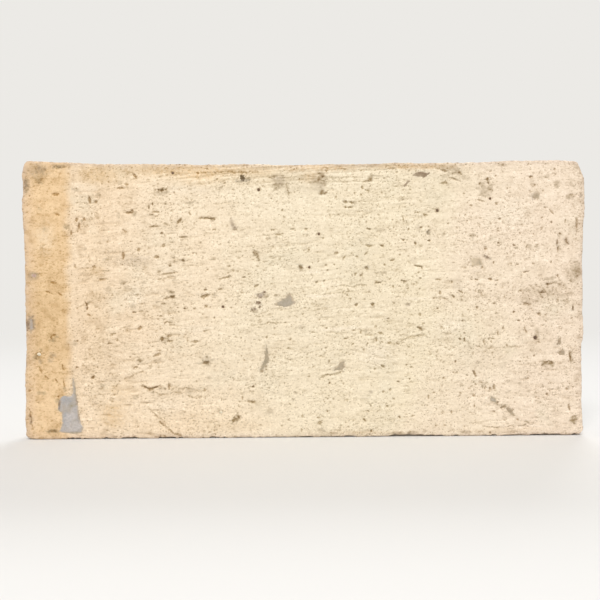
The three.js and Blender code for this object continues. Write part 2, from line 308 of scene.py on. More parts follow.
@dataclass(frozen=True)
class Patches:
    """Noise in a finish, brought onto the range that its use needs.

    Attributes:
        size: Size of its lumps, along the tile where they have a height of their own.
        detail: How much finer noise it has.
        low: The noise at which the range starts.
        high: The noise at which it ends.
        to: What the two ends become.
        height: Height of the lumps, or 0 where they are as high as long.
        turn: Rise of the lumps' long axis in degrees.
        shift: Where in the noise the tile lies.
        soft: True for a smooth step between the ends.
    """

    size: float
    detail: float
    low: float
    high: float
    to: tuple[float, float] = (0.0, 1.0)
    height: float = 0.0
    turn: float = 0.0
    shift: tuple[float, float, float] = (0.0, 0.0, 0.0)
    soft: bool = True

    def noise(self, canvas: Canvas, place: Socket | None = None) -> Socket:
        """Adds the noise to a tree.

        Args:
            canvas: The tree.
            place: Another place than the canvas's own.

        Returns:
            The noise, about 0.5.
        """
        place = canvas.place if place is None else place
        place = canvas.shifted(place, self.shift) if any(self.shift) else place
        if self.height:
            return canvas.noise(canvas.cells(place, self.size, self.height, self.turn), 1.0, self.detail)
        return canvas.noise(place, self.size, self.detail)

    def spanned(self, canvas: Canvas, noise: Socket) -> Socket:
        """A noise brought onto the range."""
        return canvas.span(noise, self.low, self.high, self.to, self.soft)

    def on(self, canvas: Canvas, place: Socket | None = None) -> Socket:
        """What the noise becomes at a place."""
        return self.spanned(canvas, self.noise(canvas, place))


@dataclass(frozen=True)
class HoleScatter:
    """Holes strewn over the back, at the same places in the mesh and in the finish.

    Attributes:
        name: What the holes are called.
        along: Spacing along the scrape.
        across: Spacing across it.
        turn: Rise of the holes' long axis in degrees.
        share: Share of the cells that hold a hole.
        radius: Largest radius as a share of the spacing.
        depth: Depth of the deepest hole.
        tint: How dark the deepest hole is painted, with dirt and painted shade.
        drift: Where in the pattern the tile lies.
    """

    name: str
    along: float
    across: float
    turn: float
    share: float
    radius: float
    depth: float
    tint: float
    drift: tuple[float, float]

    def hole(self, canvas: Canvas) -> Socket:
        """How far into a hole the canvas's place is.

        Args:
            canvas: The tree to add the nodes to.

        Returns:
            0 on the sound clay and 1 at the bottom of the deepest holes.
        """
        flat = canvas.flat()
        cell = canvas.shifted(canvas.cells(flat, self.along, self.across, self.turn), (*self.drift, 0.0))
        voronoi = canvas.add("ShaderNodeTexVoronoi", {"Vector": cell, "Scale": 1.0}, voronoi_dimensions="2D")
        first, second, third = canvas.parts(voronoi.outputs["Color"])
        crowd = Patches(21.0, 2.0, 0.36, 0.64, (0.15 * self.share, 1.9 * self.share))
        held = canvas.math("LESS_THAN", first, crowd.on(canvas, flat))
        size = canvas.span(second, 0, 1, (0.4 * self.radius, self.radius), soft=False)
        radius = canvas.times(size, Patches(0.7, 2.0, 0.3, 0.7, (0.35, 1.55), soft=False).on(canvas, flat))
        depth = canvas.math("SUBTRACT", radius, voronoi.outputs["Distance"])
        share = canvas.math("DIVIDE", depth, radius)
        bowl = canvas.times(canvas.span(share, 0.0, 0.7), held)
        return canvas.times(bowl, canvas.span(third, 0, 1, (0.2, 1.0), soft=False))


SCATTERS = (
    HoleScatter("pinhole", 3.8, 3.2, 4, 0.44, 0.24, 0.38, 0.66, (11.3, 4.7)),
    HoleScatter("fine pinhole", 2.0, 1.7, 3, 0.54, 0.3, 0.16, 0.66, (3.1, 8.9)),
    HoleScatter("drawn hole", 7.4, 3.2, 5, 0.34, 0.2, 0.28, 0.58, (5.7, 2.2)),
    HoleScatter("dash", 4.4, 1.7, 4, 0.42, 0.28, 0.14, 0.62, (1.9, 6.4)),
    HoleScatter("steep dash", 4.2, 1.8, 66, 0.22, 0.25, 0.14, 0.6, (7.7, 1.2)),
)


# Marks on the back that have a place of their own


class Tone(Enum):
    """Stains that lie in or on the clay, each by the name of its attribute on the mesh."""

    OCHRE = "ochre"
    BROWN = "brown"
    MAUVE = "mauve"
    DARK = "dark"
    PALE = "light"


class Damp(Enum):
    """Tints of the mortar, each by the name of its attribute on a scrap."""

    COOL = "cool"
    PALE = "pale"
    OLIVE = "olive"
    WARM = "warm"
    ROSE = "rose"
    DARK = "darkened"


@dataclass(frozen=True)
class Mark:
    """A hole, dent or smear of oval outline.

    Attributes:
        x: Middle along the tile.
        z: Middle above the lower edge.
        length: Longer size.
        width: Shorter size.
        strength: How strong the mark is at its middle.
        turn: Rise of the long axis to the right, in degrees.
    """

    x: float
    z: float
    length: float
    width: float
    strength: float
    turn: float = 0.0

    def reach(self, x: Array, z: Array, ragged: Array) -> Array:
        """How far inside the oval each point lies.

        Args:
            x: Places along the tile.
            z: Places above the lower edge.
            ragged: Noise about 0 that frays the outline.

        Returns:
            Above 0 inside and 1 at the middle.
        """
        angle = math.radians(self.turn)
        along = (x - self.x) * math.cos(angle) + (z - self.z) * math.sin(angle)
        across = (z - self.z) * math.cos(angle) - (x - self.x) * math.sin(angle)
        distance = np.sqrt((2 * along / self.length) ** 2 + (2 * across / self.width) ** 2)
        return 1 - distance * (1 + ragged)


# Darker holes of the back, with more dirt and painted shade, as x, z, length, width and, where it isn't 0,
# turn
DARK_HOLES = (
    (-116.3, 34, 2.3, 1.5, 40), (-119, 74, 1.2, 2.6, 12), (-118.6, 71.8, 1.2, 2.2, -20),
    (-90, 61, 3.2, 1.7, 25), (-72.3, 77.8, 3.6, 2.1, 5), (-54.5, 78.3, 5.6, 1.7, 14),
    (-68, 119.2, 4, 1.5, 52), (-52.5, 120.6, 9, 1.3, -2), (-98.6, 100.5, 1.4, 4, 8),
    (-91.8, 143.8, 3.6, 1.3, -55), (-116.5, 131, 1.7, 4, 8), (-113, 129.9, 2, 1.2, 10),
    (-95.3, 123.9, 4.8, 1.4, 4), (-93.4, 124.9, 1.3, 2.2, 20), (-122.4, 116.5, 1.3, 4, -6),
    (-54.5, 41.8, 3, 1.9, 10), (-32.9, 88.4, 1.4, 1), (-28.4, 28.4, 1.6, 1.2, 30),
    (-74.6, 28.8, 1.3, 3.4, 8), (-85, 27.7, 3.6, 1.2, 4), (-82, 28.3, 3, 1, 20),
    (-87.6, 28.4, 2.6, 1.1, -20), (-33.3, 142.2, 1.6, 2.4, 10), (-77, 135.9, 2.6, 1.4, 10),
    (-79.2, 136.2, 2, 0.8, -20), (-75.3, 136.3, 2, 0.8, 20), (6.8, 85.4, 1.4, 1, 20),
    (10.7, 86.1, 1.7, 0.8, 22), (30.9, 89.1, 1.5, 1.2), (40.6, 85, 4, 1, 8), (53.8, 86, 3, 0.8, -10),
    (62.2, 94, 5.6, 0.9, -8), (64.4, 93.1, 1, 2, 20), (63.4, 87.3, 1.2, 1.2), (28.3, 72.9, 1.6, 1.8, -30),
    (37.3, 73.2, 2.2, 1.6, 30), (45.8, 65.3, 1.5, 0.8, 5), (63, 59.9, 2.6, 1.3, -25),
    (25.8, 128.9, 2.1, 1.2, -10), (22.6, 126.2, 1.6, 1, -30), (25.2, 126.2, 4, 0.7, 6),
    (35.2, 114.4, 3.4, 0.9, -18), (54.3, 108.2, 1.7, 1), (60.8, 106.3, 1.3, 2.2, 40),
    (42.6, 105.1, 2.6, 1.2, -20), (51.4, 30.5, 1.8, 1, -5), (57.6, 32, 1.1, 1.1), (32.6, 9.5, 2.6, 1, -48),
    (36.3, 3.4, 1.4, 1.4), (51.9, 11, 1.1, 1.4), (42.7, 39, 2.4, 1.2, -25), (13.4, 30, 0.8, 1.9, -15),
    (124, 142.4, 2.2, 1.2), (115, 105, 1.8, 1, -15), (106.3, 106.4, 1.5, 1.1, -20),
    (99.3, 103.3, 1.6, 1.6, 30), (102, 86.7, 2.4, 1.2, -10), (94.4, 86.3, 2, 0.9, -12),
    (128.7, 67.3, 1.6, 1.4, 20), (114.9, 68.5, 1.4, 1.4), (117.7, 63.7, 1.9, 1), (121.5, 90.6, 3, 0.8, 6),
    (130.5, 79.1, 4, 0.9), (93.4, 34.7, 1.4, 4, 22), (102, 26.3, 1.4, 1.9, -10), (133.4, 23, 1.4, 1.1, 30),
    (106.1, 18.7, 1.7, 1.1, -20), (108.2, 15.6, 1.4, 1, 20), (83, 41.3, 1.5, 1, 30),
    (85.3, 53.8, 1.2, 2, 35), (126.2, 44.4, 1.2, 1.2), (133.7, 83.6, 1.5, 1.1, -30),
    (107, 119.6, 1.3, 1, 20), (135.3, 117.6, 1.1, 1.2), (48.3, 97.3, 2.6, 1, 10), (72.9, 70.8, 1.1, 0.9),
    (-93, 69.5, 1.9, 1.1),
)

# Paler holes and streaks, with less dirt and painted shade, in the same way
PALE_HOLES = (
    (-134.8, 134, 4.3, 1.5), (-134, 123, 3, 1.4, -20), (-126.6, 113, 1.2, 3, 10),
    (-123.6, 120.2, 1.5, 2, -20), (-119.6, 120.3, 1.6, 1.6), (-99.2, 137.1, 4.4, 1.5),
    (-96, 139.2, 2, 1.3, -10), (-97.7, 114, 3.4, 1, -30), (-82.3, 128.4, 1.8, 0.9, 80),
    (-84.3, 126.7, 1.8, 0.8, 80), (-80.3, 124.1, 3.6, 1.2), (-82.8, 122.6, 2.5, 0.7),
    (-82, 116.4, 5.3, 0.9, 7), (-77.3, 112.8, 1.5, 1), (-136.8, 86, 3.2, 1.4, -10),
    (-139.8, 81, 2.6, 1, -20), (-133.5, 79.8, 3, 0.8, -35), (-138.3, 56.3, 1.1, 3), (-136.8, 57.4, 3, 1.1),
    (-117.6, 68.4, 2.8, 0.9, -30), (-114.6, 94.5, 2.2, 1.4), (-110, 87.6, 4.4, 1.2, 6),
    (-91.8, 79, 2.5, 0.7), (-89.3, 70.2, 4, 0.7, 8), (-105, 57.8, 3.4, 0.9, 10),
    (-106.5, 52.7, 2.4, 1.2, -10), (-102.4, 54.4, 1.6, 1.2), (-124.2, 54.2, 1.4, 1),
    (-124.5, 39.6, 1.5, 1.2), (-93.6, 46.6, 2.2, 0.8), (-92.7, 39.4, 3.2, 1.3, 25), (-79.3, 48.5, 1.6, 1),
    (-80.8, 46.3, 3.8, 1.7, 20), (-80.5, 99.9, 2.8, 1.8, 10), (-76.6, 105.9, 1.8, 1.9),
    (-132, 31, 0.7, 3.8, 6), (-135.1, 23.6, 0.8, 1.6), (-136.1, 32.6, 2.6, 0.7, -60),
    (-132.5, 39.8, 0.7, 3.4, 10), (-150.8, 27.1, 1.3, 1.1), (118.5, 80, 2, 1.2), (122, 73, 5, 1, -10),
    (-62.2, 123, 2.2, 0.9, -55), (-49, 114.3, 3.2, 0.8), (-66, 110.5, 5.3, 0.7, 3),
    (-43, 139.7, 2, 0.8, 25), (-13.5, 111.7, 4.4, 1, 3), (-17.3, 114.2, 2, 1.1, -10), (-6.5, 114.5, 3, 0.8),
    (-74, 90.6, 9, 1.1, 8), (-66.3, 97.8, 2, 1.6), (-75.6, 77, 3.4, 1, 12), (-77.3, 74.3, 2.5, 0.7),
    (-54.3, 81.8, 1.8, 1), (-46, 82, 2.5, 0.9), (-44, 88, 7, 0.9, 10), (-30.5, 90, 1.6, 0.8),
    (-53.8, 72.7, 2.2, 1.8), (-60.3, 71.3, 1.8, 0.9, 10), (-65.5, 71.5, 1.5, 0.9), (-55.5, 68.3, 1.3, 1),
    (-49.4, 66.4, 1.2, 1), (-78.7, 67.3, 2, 1), (-76, 63.8, 2.2, 0.8, 40), (-74, 63.8, 2.2, 0.8, -40),
    (-74.5, 56.4, 2.2, 1.6), (-78, 55, 2.2, 2.6, 20), (-73.5, 53.7, 4.4, 1.4), (-90.2, 103.8, 1.8, 2.4),
    (-59.8, 53.3, 3.6, 1.4, 5), (-54, 59.3, 3.5, 0.9, 15), (-26.3, 83.7, 3, 1, 30), (-45.8, 21.5, 0.8, 1.8),
    (-34.3, 22.2, 0.7, 2.4), (-29.6, 20, 4.6, 1.6, -6), (-9, 49.2, 2.2, 1), (-7.9, 54.2, 1.3, 1.1),
    (-20.8, 55.4, 0.9, 2), (-2, 94, 2.2, 1.8, -40), (-1.6, 12, 1.4, 1.6), (-2, 4.3, 1.2, 1.2),
    (2.5, 103.2, 1.3, 1.5), (17.5, 101.4, 2.6, 1.5, 10), (11.8, 94.7, 1.6, 0.9), (16.3, 95.1, 1, 1),
    (12.7, 91.9, 1.8, 0.7, 10), (17.9, 92.7, 1.3, 0.8), (21.6, 98.6, 3, 0.9, 55),
    (33.6, 100.9, 2.8, 0.9, 38), (28.6, 99.4, 1.6, 1.1, 10), (33.9, 93.1, 2, 1.3, -25),
    (28, 90.2, 1.7, 0.9), (26.1, 89.3, 1, 0.8), (52.2, 100.2, 1.5, 0.9), (62.6, 90.5, 1.4, 1),
    (60, 84, 1.3, 1), (61.7, 84.7, 1.3, 1), (46.9, 87, 1.6, 0.8, 30), (48.5, 82.9, 1, 1.6, 30),
    (51.7, 83, 1.4, 0.6, 5), (73.5, 86.6, 3.8, 0.9), (74.3, 79.5, 1.6, 2, -20), (23.3, 78.3, 1.1, 1),
    (25.2, 76.4, 1.4, 1), (63.2, 67.5, 1.3, 1.8), (38.9, 61, 1.6, 1, 20), (41.5, 57.4, 3.4, 1.3, -10),
    (30.8, 58.2, 0.9, 2.4, -8), (26.8, 58.9, 1.2, 1), (12, 60.3, 1.3, 0.9, -10), (4.3, 58, 2.1, 0.8),
    (22.6, 54.5, 2.4, 0.9, 10), (39.4, 54, 0.9, 3), (42.1, 52.4, 1.5, 1), (46.5, 51.8, 2.2, 1.6),
    (34.3, 51.4, 0.9, 2, -20), (32.3, 48.3, 1.3, 1.2, 20), (26.5, 51.5, 1.8, 0.9, 30),
    (2.3, 33.8, 1.5, 1, 30), (1.5, 46, 1, 0.9), (13.4, 42.3, 1, 1.6), (38.6, 37.7, 1.3, 1.1),
    (58.5, 38.5, 1.5, 1), (55.8, 39.7, 1.6, 0.8, 30), (21, 29.8, 1, 0.9), (46.8, 26.3, 1, 1.6, -30),
    (43, 25, 1.3, 1.2), (67.9, 22, 0.9, 2.8), (70.9, 24.3, 1.5, 0.9), (12.4, 21.3, 1.2, 1.1),
    (15.5, 21.2, 1, 1), (35.8, 18, 2.5, 0.9, -48), (34.6, 14.3, 1.3, 1), (45.2, 16.9, 1.5, 1.1),
    (48.9, 21, 1.2, 1), (8.2, 8.2, 2.4, 2, 10), (7.2, 11, 1.9, 0.9), (12.3, 14.5, 1.3, 1.1, -20),
    (31.8, 137, 1.2, 2.4), (34.5, 135.3, 2.4, 1, -15), (27.6, 133.8, 1.3, 1.3), (31.1, 133, 1.2, 1.1),
    (17.5, 131.6, 1, 1.4), (22.6, 129.2, 2.2, 1.6), (66, 122, 3, 1.6, -15), (68.2, 123.5, 1.2, 1),
    (64.2, 120.6, 1, 1), (62, 123.4, 3, 0.7, 5), (54.2, 119.4, 0.9, 2.3, 10), (55.9, 118.3, 0.8, 1.4),
    (57.1, 114.2, 1, 1.5), (64, 115, 1.8, 0.9, 15), (1, 114.4, 2.2, 0.9, 20), (10.2, 109.5, 1.2, 1.1),
    (35.8, 105.2, 3.6, 1.5), (68.2, 108, 2.4, 0.8), (78.8, 117.1, 1.3, 1, 20), (96, 116.4, 1.1, 1),
    (106.3, 113, 1.7, 0.8, -35), (130.1, 120.2, 1.4, 1.1, 10), (130, 114.4, 1.4, 1),
    (135.4, 123.2, 4, 0.9, -48), (142.9, 118.3, 0.9, 2.8, -15), (149.2, 117.5, 1.3, 6.4),
    (138.6, 106.6, 1, 3.6, -10), (143.8, 107, 1.2, 3.6, 20), (139.9, 111.4, 1.2, 1), (139, 103, 0.9, 3.6),
    (87.2, 133.4, 1.3, 0.9, -30), (82.5, 141.3, 4.6, 0.6, -22), (76.6, 139.2, 4.4, 1.4, 5),
    (97, 129.5, 4.8, 0.8, -12), (91.2, 126.8, 2, 0.9, -35), (105.2, 128, 1.8, 1.6), (126, 137.8, 1.3, 1.3),
    (81.8, 95.8, 1.4, 0.8, 20), (97.4, 93, 1.1, 2, -20), (103.7, 95.7, 0.9, 1.5),
    (116.8, 94.7, 1.9, 0.9, 10), (125.5, 95, 1.6, 1, -30), (135.3, 95.8, 0.9, 1.7), (91.7, 86.6, 1.3, 0.8),
    (105.6, 85.9, 2, 0.8, 10), (105, 83.4, 1.3, 1), (80.8, 85.2, 1, 1.8, 25), (85.8, 79.8, 3.5, 0.9, -30),
    (97, 79, 0.8, 3.6, 15), (76.6, 76.2, 3.8, 0.7, -14), (81.8, 77.1, 2.2, 0.9, -40),
    (95, 71.2, 1.6, 1, 10), (118.2, 80.3, 1.4, 0.8, -15), (139, 88.5, 1.4, 1.8, -30),
    (147.5, 70.6, 1.2, 2.4), (106.2, 56.7, 1, 2.8), (103, 54, 2.2, 0.7, 5), (121.8, 57.8, 3, 0.9, -55),
    (98.5, 52, 1, 3, 25), (102.5, 52.6, 0.8, 2), (111, 50.3, 1.1, 1.5), (128.9, 51.9, 1.6, 0.9, -25),
    (87.7, 52.6, 1, 1), (87.7, 57, 1, 1), (95.7, 49.6, 1.3, 0.8), (96.8, 29.9, 2.4, 0.8, -8),
    (93.9, 28.8, 1.3, 1), (99.2, 26.8, 0.9, 2, -30), (104.2, 27.5, 1.5, 3.2), (93, 22.3, 1.4, 1),
    (85.6, 24, 1.1, 1.1), (93.3, 16.8, 0.9, 1.9), (104.2, 13.7, 1.9, 0.9), (117.2, 9.2, 1.8, 0.9, -30),
    (144.2, 26, 1.1, 1.5, 10), (77.2, 6.1, 1.9, 0.9), (102.1, 1.9, 1.4, 0.9), (145.8, 15.6, 1.3, 4.4, 15),
    (80.6, 13.6, 0.8, 2), (145.9, 44, 1, 5, 12), (83.5, 35.3, 1.6, 1.4), (76.3, 32.3, 1.3, 1.5, 30),
    (-70.6, 134.5, 1.2, 1.1), (-57.5, 144.9, 1.3, 1.1), (-73.3, 94.9, 1.1, 1.1), (-16.9, 105, 1.1, 1.1),
    (42.3, 134.2, 1.1, 1.1), (43.9, 94.9, 1.1, 1.1), (136.8, 146.4, 1.4, 1.2),
)

# Smears, tints and stains by tone, as x, z, length, width, strength and, where it isn't 0, turn
SMEARS: dict[Tone, tuple[tuple[float, ...], ...]] = {
    Tone.OCHRE: (
        (-106, 14, 18, 20, 0.4), (-103, 27, 12, 10, 0.28), (-114, 70, 17, 110, 0.1, 1),
        (-60, 12, 70, 20, 0.1), (-112, 145, 28, 16, 0.44), (-106, 11, 13, 17, 0.4, 60),
        (-99, 26, 20, 14, 0.2), (-60, 7, 90, 13, 0.14), (-56, 145.5, 36, 13, 0.52),
        (-27, 146.5, 38, 8, 0.24), (5, 143, 16, 9, 0.3, 10), (-113, 92, 12, 7, 0.3), (30, 2.4, 60, 3, 0.16),
        (110, 3, 70, 3.4, 0.1), (-60, 146.8, 90, 9, 0.5), (6, 147.8, 60, 5, 0.5), (60, 148.2, 60, 4, 0.5),
    ),
    Tone.BROWN: (
        (9.6, 144, 3.4, 4, 0.5), (7.4, 140.8, 7, 3, 0.3, 10), (9.8, 137, 3, 4.5, 0.18),
        (10.3, 134.2, 4.4, 2.8, 0.55, 5), (80, 147.2, 10, 3.4, 0.34), (83.5, 145.5, 6, 4, 0.34, -10),
        (77, 145.9, 3.6, 1, 0.6), (85.6, 143.6, 2.6, 1, 0.5, 20), (97.6, 137, 3, 2.6, 0.3),
        (101.8, 135.3, 3, 3.4, 0.32), (94.2, 136.3, 3, 1, 0.4, 5), (97.5, 133.4, 1.8, 1.2, 0.4),
        (100.3, 140.6, 1.6, 3.4, 0.7, 10), (53.6, 130.7, 3, 2.2, 0.4), (36.4, 142, 2, 3.6, 0.5, -20),
        (39.5, 143.2, 7, 0.9, 0.24, -4), (34.8, 140.4, 4, 1.1, 0.8, 4), (122, 74.5, 12, 6, 0.16, -14),
        (136, 84.5, 14, 2.4, 0.32, 14), (149, 90.5, 7, 16, 0.4), (146.6, 85.8, 2.6, 2, 0.4),
        (144, 78, 12, 2, 0.22, 5), (143, 74.7, 6, 0.9, 0.35, 4), (148.3, 9, 4, 4.4, 0.55),
        (88.5, 2.3, 6, 2.2, 0.36), (112.8, 14.4, 4.4, 1.8, 0.45, -40), (15, 2.4, 5, 1.2, 0.24),
        (9, 4, 5, 2.4, 0.3, -20), (145.5, 131.4, 4.4, 3, 0.34), (146.4, 138, 3.4, 1.6, 0.35, -40),
        (133, 142.6, 3.4, 2.2, 0.25), (148.8, 147.5, 3, 3, 0.2), (-138.7, 4.6, 6.6, 2.2, 0.45),
        (-41, 9.5, 2.6, 1.4, 0.15, 20), (-37.4, 12.6, 1.3, 3, 0.4, -25), (-39.2, 10.4, 1.5, 3, 0.8, -40),
        (-13.5, 138.3, 5.8, 3, 0.32), (-16.6, 143, 3.4, 1.8, 0.5), (-11.8, 142, 1.2, 3, 0.35, 10),
        (-9, 136, 1, 6, 0.24, -6), (-144, 143.5, 14, 12, 0.1), (-77.6, 135, 6.4, 4, 0.3, 8),
        (-26.8, 101.5, 3.4, 2.8, 0.5, -30), (-25.2, 98.9, 1.4, 4.6, 0.5, 12), (-108, 92.5, 5, 0.9, 0.35, 6),
        (-95, 90, 5, 1.2, 0.06, -5), (-90.3, 43, 2.4, 2.8, 0.55), (134, 40.4, 6.6, 2.2, 0.46),
        (131.2, 39.3, 1.8, 2.4, 0.4, 30), (136.4, 39, 2.2, 3, 0.5, -20), (-77, 54.5, 6, 3, 0.25, 10),
        (132, 149.4, 6, 0.8, 0.3), (107.5, 149.2, 4.4, 1.3, 0.45, -5), (36.8, 148.7, 4.2, 1.3, 0.35),
        (18, 148.8, 4, 0.9, 0.4), (66.2, 147.8, 2.6, 0.9, 0.3), (75.4, 147.2, 2.4, 3, 0.22),
        (27.4, 148.8, 2.8, 0.7, 0.3), (-143.2, 147.5, 7, 4, 0.26), (-143.4, 141.3, 4, 4, 0.3, 20),
        (-150.8, 138.4, 4, 8, 0.44), (-133, 148.8, 6, 1.8, 0.6), (-22, 148.4, 50, 2, 0.12),
        (-4, 146.2, 24, 7, 0.12), (50.5, 2.2, 6, 1.5, 0.42), (58.6, 2.4, 7, 1.4, 0.38),
        (66, 2.8, 2.4, 2, 0.3), (-82.4, 128.4, 1.2, 2.2, 0.45), (-84.4, 126.9, 1, 2.2, 0.32),
        (-75.4, 128.6, 1.6, 1.4, 0.4), (-83.2, 122.5, 3.4, 1, 0.34, -6), (-59.9, 129.1, 8, 0.9, 0.24),
        (-69.8, 116, 1.3, 1.1, 0.35), (-75.2, 117.8, 1.5, 0.8, 0.34), (-75.2, 116.2, 1.8, 0.8, 0.3),
        (-73.3, 115.3, 5, 0.6, 0.24, 4), (-72.4, 113.9, 6, 0.6, 0.2, 2), (-77.4, 112.6, 1.5, 1.2, 0.55, 20),
        (-76.4, 110.3, 1.8, 0.8, 0.3, -20), (-65.7, 110.4, 5, 1, 0.24, -6), (-71.3, 107.8, 1.1, 1.1, 0.6),
        (-55, 113.8, 1.7, 0.9, 0.32), (-56.6, 107.4, 1.8, 1.1, 0.36, 10), (-58.6, 106, 1.1, 0.8, 0.25),
        (-46.7, 121.6, 0.9, 0.9, 0.45), (-40.7, 122.5, 1.2, 1.2, 0.3), (-38.3, 126.9, 2.2, 0.9, 0.34, -20),
        (-40.3, 129.7, 1.7, 0.8, 0.3, 20), (-29.8, 117.5, 2.2, 0.8, 0.3, 6), (-31.4, 112, 1.6, 1.2, 0.34),
        (-34.9, 115, 1.6, 1.6, 0.2), (-45.7, 110, 1.1, 0.9, 0.26), (-41.1, 107.4, 1.7, 1.1, 0.24),
        (-71, 118.4, 7, 0.5, 0.2, 2), (-72, 112.5, 8, 0.5, 0.18), (-67.5, 105.4, 11, 0.6, 0.2, 4),
        (-68, 103.8, 12, 0.6, 0.16, 4), (-75.2, 101.7, 1.2, 1.1, 0.36), (-80, 99.8, 1.3, 1.3, 0.3),
        (-71.3, 99.5, 3.4, 0.9, 0.34), (-69.8, 97.4, 2.8, 0.8, 0.34), (-66.7, 97.7, 4.4, 0.9, 0.3, -6),
        (-65.9, 96.7, 1, 1.4, 0.3), (-72.9, 94.9, 1.6, 1.2, 0.36, 20), (-79.1, 91.8, 1.6, 1.1, 0.4),
        (-65.9, 89.9, 1.7, 0.8, 0.3), (-70.2, 91.6, 5, 0.5, 0.2, 18), (-70.6, 86.9, 1.6, 0.8, 0.32, -20),
        (-69.8, 85.4, 1.7, 0.8, 0.32, -30), (-67.9, 85.8, 1.6, 0.8, 0.3), (-65.9, 84.6, 1.7, 0.8, 0.3),
        (-64.4, 86.8, 1.7, 0.7, 0.24), (-74.9, 81.5, 2.4, 0.8, 0.34, -35),
        (-72.5, 80.9, 1.2, 2.4, 0.42, -15), (-77.6, 78.2, 1.4, 0.9, 0.34), (-79.9, 75.3, 2.2, 0.9, 0.34),
        (-77.2, 73.9, 3.4, 0.8, 0.34, 10), (-70.2, 74.6, 1.7, 0.9, 0.4, -20),
        (-65.1, 71.4, 2.4, 0.9, 0.4, -6), (-59.7, 71.4, 1.8, 0.9, 0.3), (-53.9, 81.9, 2.2, 1.1, 0.34, 10),
        (-45.4, 82.3, 2.8, 0.8, 0.34, 20), (-45.4, 84.2, 2.2, 0.6, 0.24, 10),
        (-38.7, 86.1, 10, 0.6, 0.28, 17), (-40.7, 94.7, 1.6, 1.1, 0.34), (-49.6, 98.2, 2.4, 0.7, 0.34),
        (-44.6, 93, 2.8, 0.7, 0.24), (-44.2, 97.1, 1.2, 1.1, 0.24), (-38.3, 97.2, 1.2, 0.9, 0.28),
        (-46.5, 76.2, 1.7, 0.9, 0.3), (-42.6, 75.4, 1.2, 0.9, 0.3), (-35.9, 78, 2.2, 0.7, 0.24),
        (-57.7, 79.3, 1.6, 1.2, 0.3), (-67.9, 78.8, 1.7, 0.8, 0.3), (-65.1, 78, 2.2, 0.7, 0.24),
        (-87.3, 86, 1.7, 1.1, 0.34), (56.2, 73.1, 1.6, 1.4, 0.25), (80.6, 77.9, 3, 1.3, 0.36, -30),
        (85.7, 75.2, 2.2, 2, 0.26), (95.8, 79.8, 1.3, 2.8, 0.4, 18), (87.3, 53.8, 1.8, 1.2, 0.45),
        (102.5, 56.2, 3.4, 1.1, 0.36, 10), (101.3, 54.2, 1.3, 1.9, 0.34), (90, 51, 1.7, 1.7, 0.32),
        (94.8, 50.6, 1.3, 1.2, 0.5), (78, 56.8, 2.4, 1.2, 0.36, 18), (62, 55, 1.4, 1.2, 0.36),
        (67.1, 55.4, 2, 1.1, 0.28, -20), (51.2, 51.6, 2.3, 1.2, 0.3), (50, 68.7, 1.3, 1.5, 0.3),
        (48.5, 74.2, 1.9, 1.2, 0.3), (86.9, 67.5, 1.2, 1.8, 0.32, -20), (106.3, 76.4, 1.3, 1.1, 0.42),
        (101.2, 75.3, 1.3, 1.1, 0.32), (104.3, 73.3, 1.9, 1.1, 0.36, -10), (105.3, 67.9, 1.2, 1.2, 0.36),
        (110.1, 65.2, 1.3, 1.2, 0.36), (109, 59.5, 1.3, 1.2, 0.36), (85, 64, 1.3, 1.1, 0.3),
        (87, 64, 1.3, 1.1, 0.3), (83, 59, 1.3, 1.1, 0.32), (93, 30, 1.5, 1.3, 0.42),
        (97.9, 28, 1.3, 2.1, 0.42, -20), (99.8, 29.4, 1.9, 1.1, 0.32), (114, 12.2, 6.5, 1.4, 0.42, -42),
        (109.6, 16.7, 3.4, 1.9, 0.42, -20), (122.6, 7.7, 1.9, 1.3, 0.42, -20),
        (126.9, 23.6, 1.3, 1.6, 0.32), (123.4, 24.7, 1.3, 1.9, 0.34), (131.1, 27.4, 1.2, 1.9, 0.34),
        (118.3, 29, 2.3, 1.6, 0.3), (112.1, 30.5, 1.7, 1.7, 0.28), (112.1, 24.7, 2.5, 1.2, 0.34, 40),
        (117.3, 23.7, 1.2, 1.2, 0.32), (121.8, 31.9, 1.2, 1.3, 0.32), (129.2, 34, 1.3, 1.3, 0.3),
        (142.4, 27.3, 1.5, 1.7, 0.36), (145.1, 27.3, 1.2, 2.5, 0.3), (139.7, 25.8, 1.2, 2.7, 0.3, 12),
        (144, 34.3, 1.3, 3, 0.36, -20), (134.6, 18.9, 1.3, 1.3, 0.3), (98.5, 18.3, 2.5, 1.1, 0.3),
        (121, 6, 2.3, 1.2, 0.3), (134.3, 9.9, 1.9, 1.1, 0.26), (89.2, 34.1, 1.3, 1.3, 0.32),
        (86.1, 28.7, 1.2, 2.3, 0.3, 25), (40, 148.6, 60, 1.8, 0.22), (6, 145.4, 34, 1, 0.12, -2),
        (132, 79.4, 22, 9, 0.17, -8), (138, 138.5, 2.8, 4.4, 0.36), (-129, 116.4, 3.8, 2.6, 0.34, 10),
        (-99.1, 85.9, 4.4, 2.6, 0.34, 8), (9.6, 138.8, 5.4, 2, 0.34), (141, 83.4, 5.4, 2.6, 0.24),
        (-100.8, 122.3, 1.8, 3.6, 0.3), (-73.1, 80.8, 3.6, 2.2, 0.34), (-125.7, 52.7, 3.2, 3, 0.24),
        (-62.8, 26.5, 5.4, 3.4, 0.26), (98.5, 134.4, 5.4, 2.8, 0.26, 10), (-92.1, 123.3, 3.6, 3.4, 0.3),
        (-23.8, 36.9, 3, 2.4, 0.4, 40), (27.5, 128.7, 2.8, 2, 0.34), (33.3, 58.8, 3.2, 2.6, 0.24),
        (-19.6, 14.6, 4.4, 2.8, 0.26), (-92.9, 22.9, 4, 2.6, 0.26, 20), (92, 110.5, 4, 2.2, 0.28),
        (-93.9, 72.8, 3, 3.8, 0.24), (-110.8, 29.6, 2.8, 2, 0.3), (122.3, 80.8, 5, 2, 0.26, 10),
